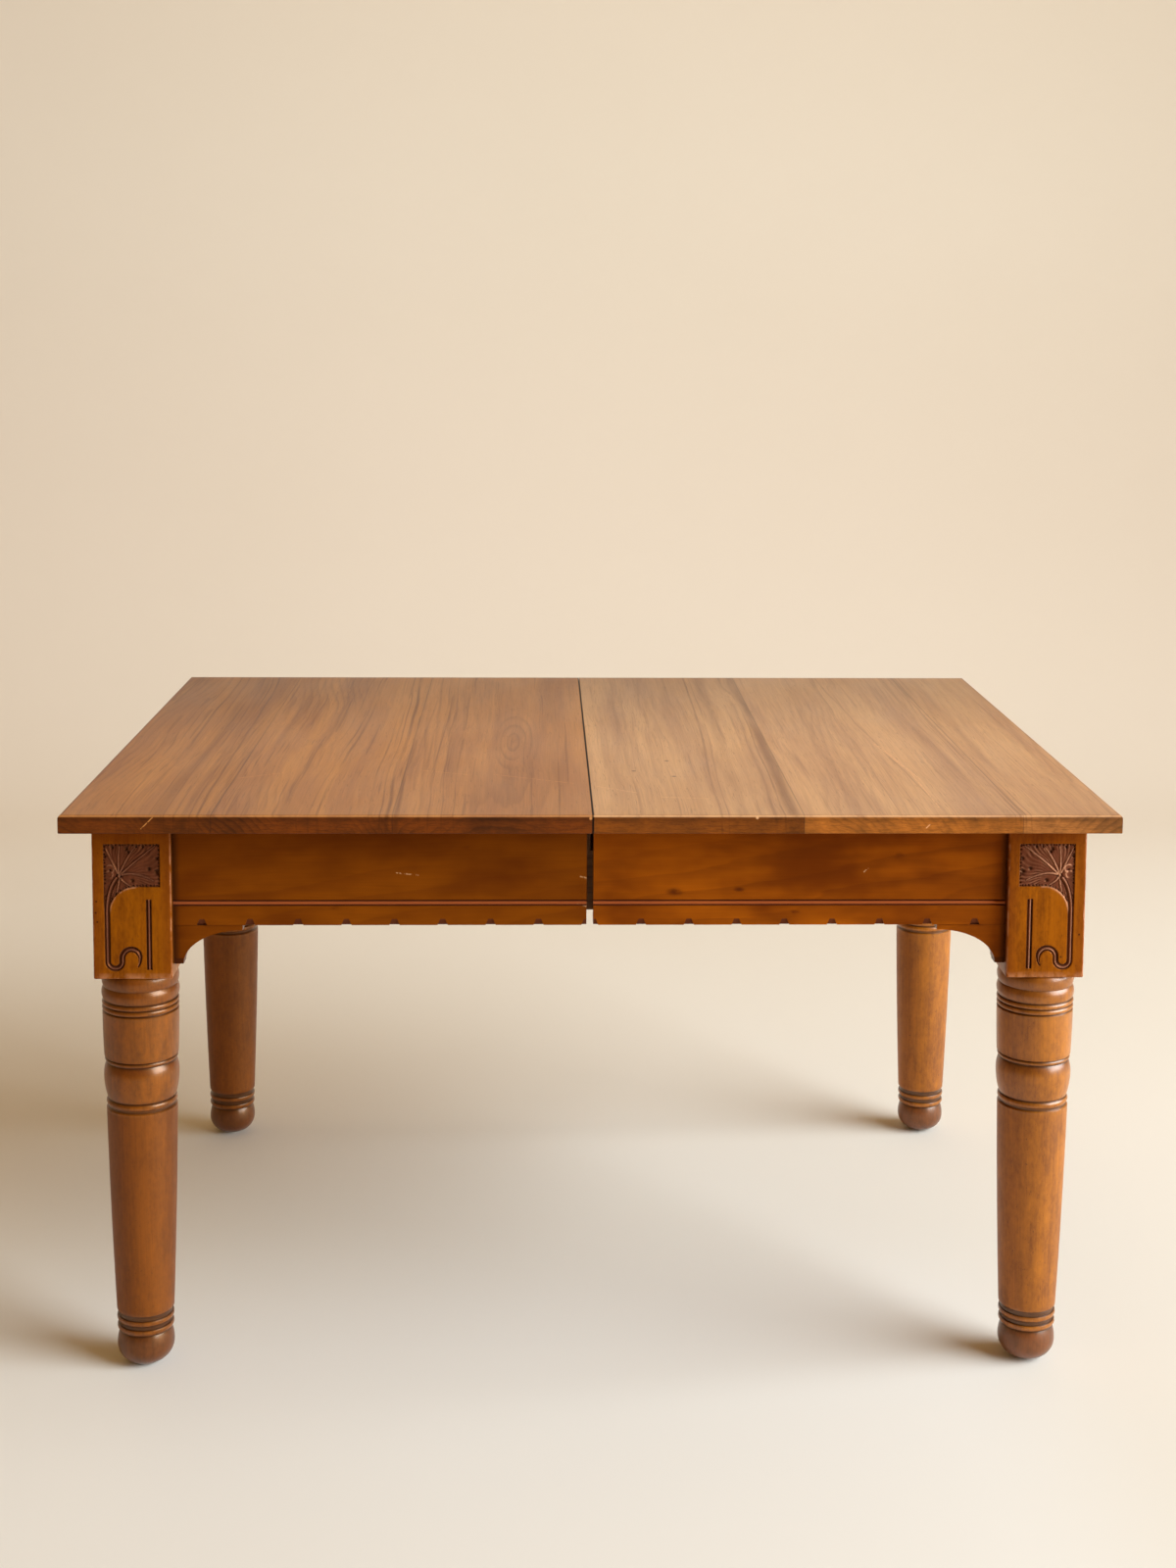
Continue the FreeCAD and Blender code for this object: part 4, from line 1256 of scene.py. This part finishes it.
def lights():
    """A cool key from the right and a little in front, a wash on the backdrop and a warm, dim room."""
    for name, values in lamps.items():
        lamp(name, *values)
    graph = Graph(bpy.data.worlds.new("studio"))
    backward = graph.place("Generated").parts()[1]
    room = graph.mix(backward * 0.5 + 0.5, room_front, room_back)
    graph.fill(graph.nodes["Background"], {"Color": room})
    bpy.context.scene.world = graph.owner


def camera():
    data = bpy.data.cameras.new("camera")
    data.sensor_fit = "VERTICAL"
    data.sensor_height = camera_film
    data.lens = camera_lens
    data.shift_y = camera_shift
    piece = bpy.data.objects.new("camera", data)
    turn = Matrix.Rotation(-camera_yaw, 4, "Z")
    turn = turn @ Matrix.Rotation(math.pi / 2 - camera_pitch, 4, "X")
    turn = turn @ Matrix.Rotation(camera_roll, 4, "Z")
    piece.matrix_world = Matrix.Translation(camera_place) @ turn
    bpy.context.scene.collection.objects.link(piece)
    bpy.context.scene.camera = piece


leg_woods = {side: leg_wood(side) for side in leg_looks}
felt = glide_felt()
corners = [(side, end) for side in ("left", "right") for end in ("front", "back")]
for count, (side, end) in enumerate(corners):
    corner = side + "_" + end
    body = side + "_half"
    leg(corner + "_leg_carved", corner + "_leg", body, leg_woods[side], count * dent_leg_step)
    glide(corner + "_glide_pad", corner + "_glide", body, felt)

for board in board_looks:
    dress(board, top_wood(board))

apron_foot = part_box("left_front_apron")[0]
bead_height = apron_foot[2] + bead_rise
side_face = (1, -apron_foot[1])
end_face = (0, -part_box("left_end_apron")[0][0])
side_bracket_face = (1, -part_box("left_front_bracket")[0][1])
end_bracket_face = (0, -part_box("left_end_front_bracket")[0][0])
side_corner = (0, -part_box("left_front_leg")[1][0])
end_corner = (1, -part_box("left_front_leg")[1][1])
# Grain order, face, corner with the block, bead height and whether the photo's marks show
finishes = {
    "front_apron": ("ZXY", side_face, side_corner, bead_height, True),
    "back_apron": ("ZXY", side_face, side_corner, bead_height, False),
    "end_apron": ("ZYX", end_face, end_corner, bead_height, False),
    "bracket": ("ZXY", side_bracket_face, side_corner, 0, False),
    "end_bracket": ("ZYX", end_bracket_face, end_corner, 0, False),
}
for side, colours in apron_looks.items():
    for part, values in finishes.items():
        finish = finish_wood(side + "_" + part + "_wood", *values, *colours)
        if part.endswith("apron"):
            dress(side + "_" + part, finish, apron_soften)
        else:
            for end in ("front", "back"):
                dress(side + "_" + part.replace("bracket", end + "_bracket"), finish, bracket_soften)

long_slide = slide_wood("slide_wood_long", "ZXY")
cross_slide = slide_wood("slide_wood_cross", "XYZ")
upright_slide = slide_wood("slide_wood_upright", "XZY")
steel = screw_steel()
for name in nodes:
    if name.endswith("_screws"):
        dress(name, steel, screw_soften)
    elif name.endswith(("_runner", "_tongue", "_batten")) or name == "seam_dowels":
        dress(name, long_slide)
    elif name.endswith(("_rail", "_glue_blocks")):
        dress(name, cross_slide)
    elif name.endswith("_pegs"):
        dress(name, upright_slide)

stage()
lights()
camera()
bpy.context.scene.view_settings.view_transform = "Standard"
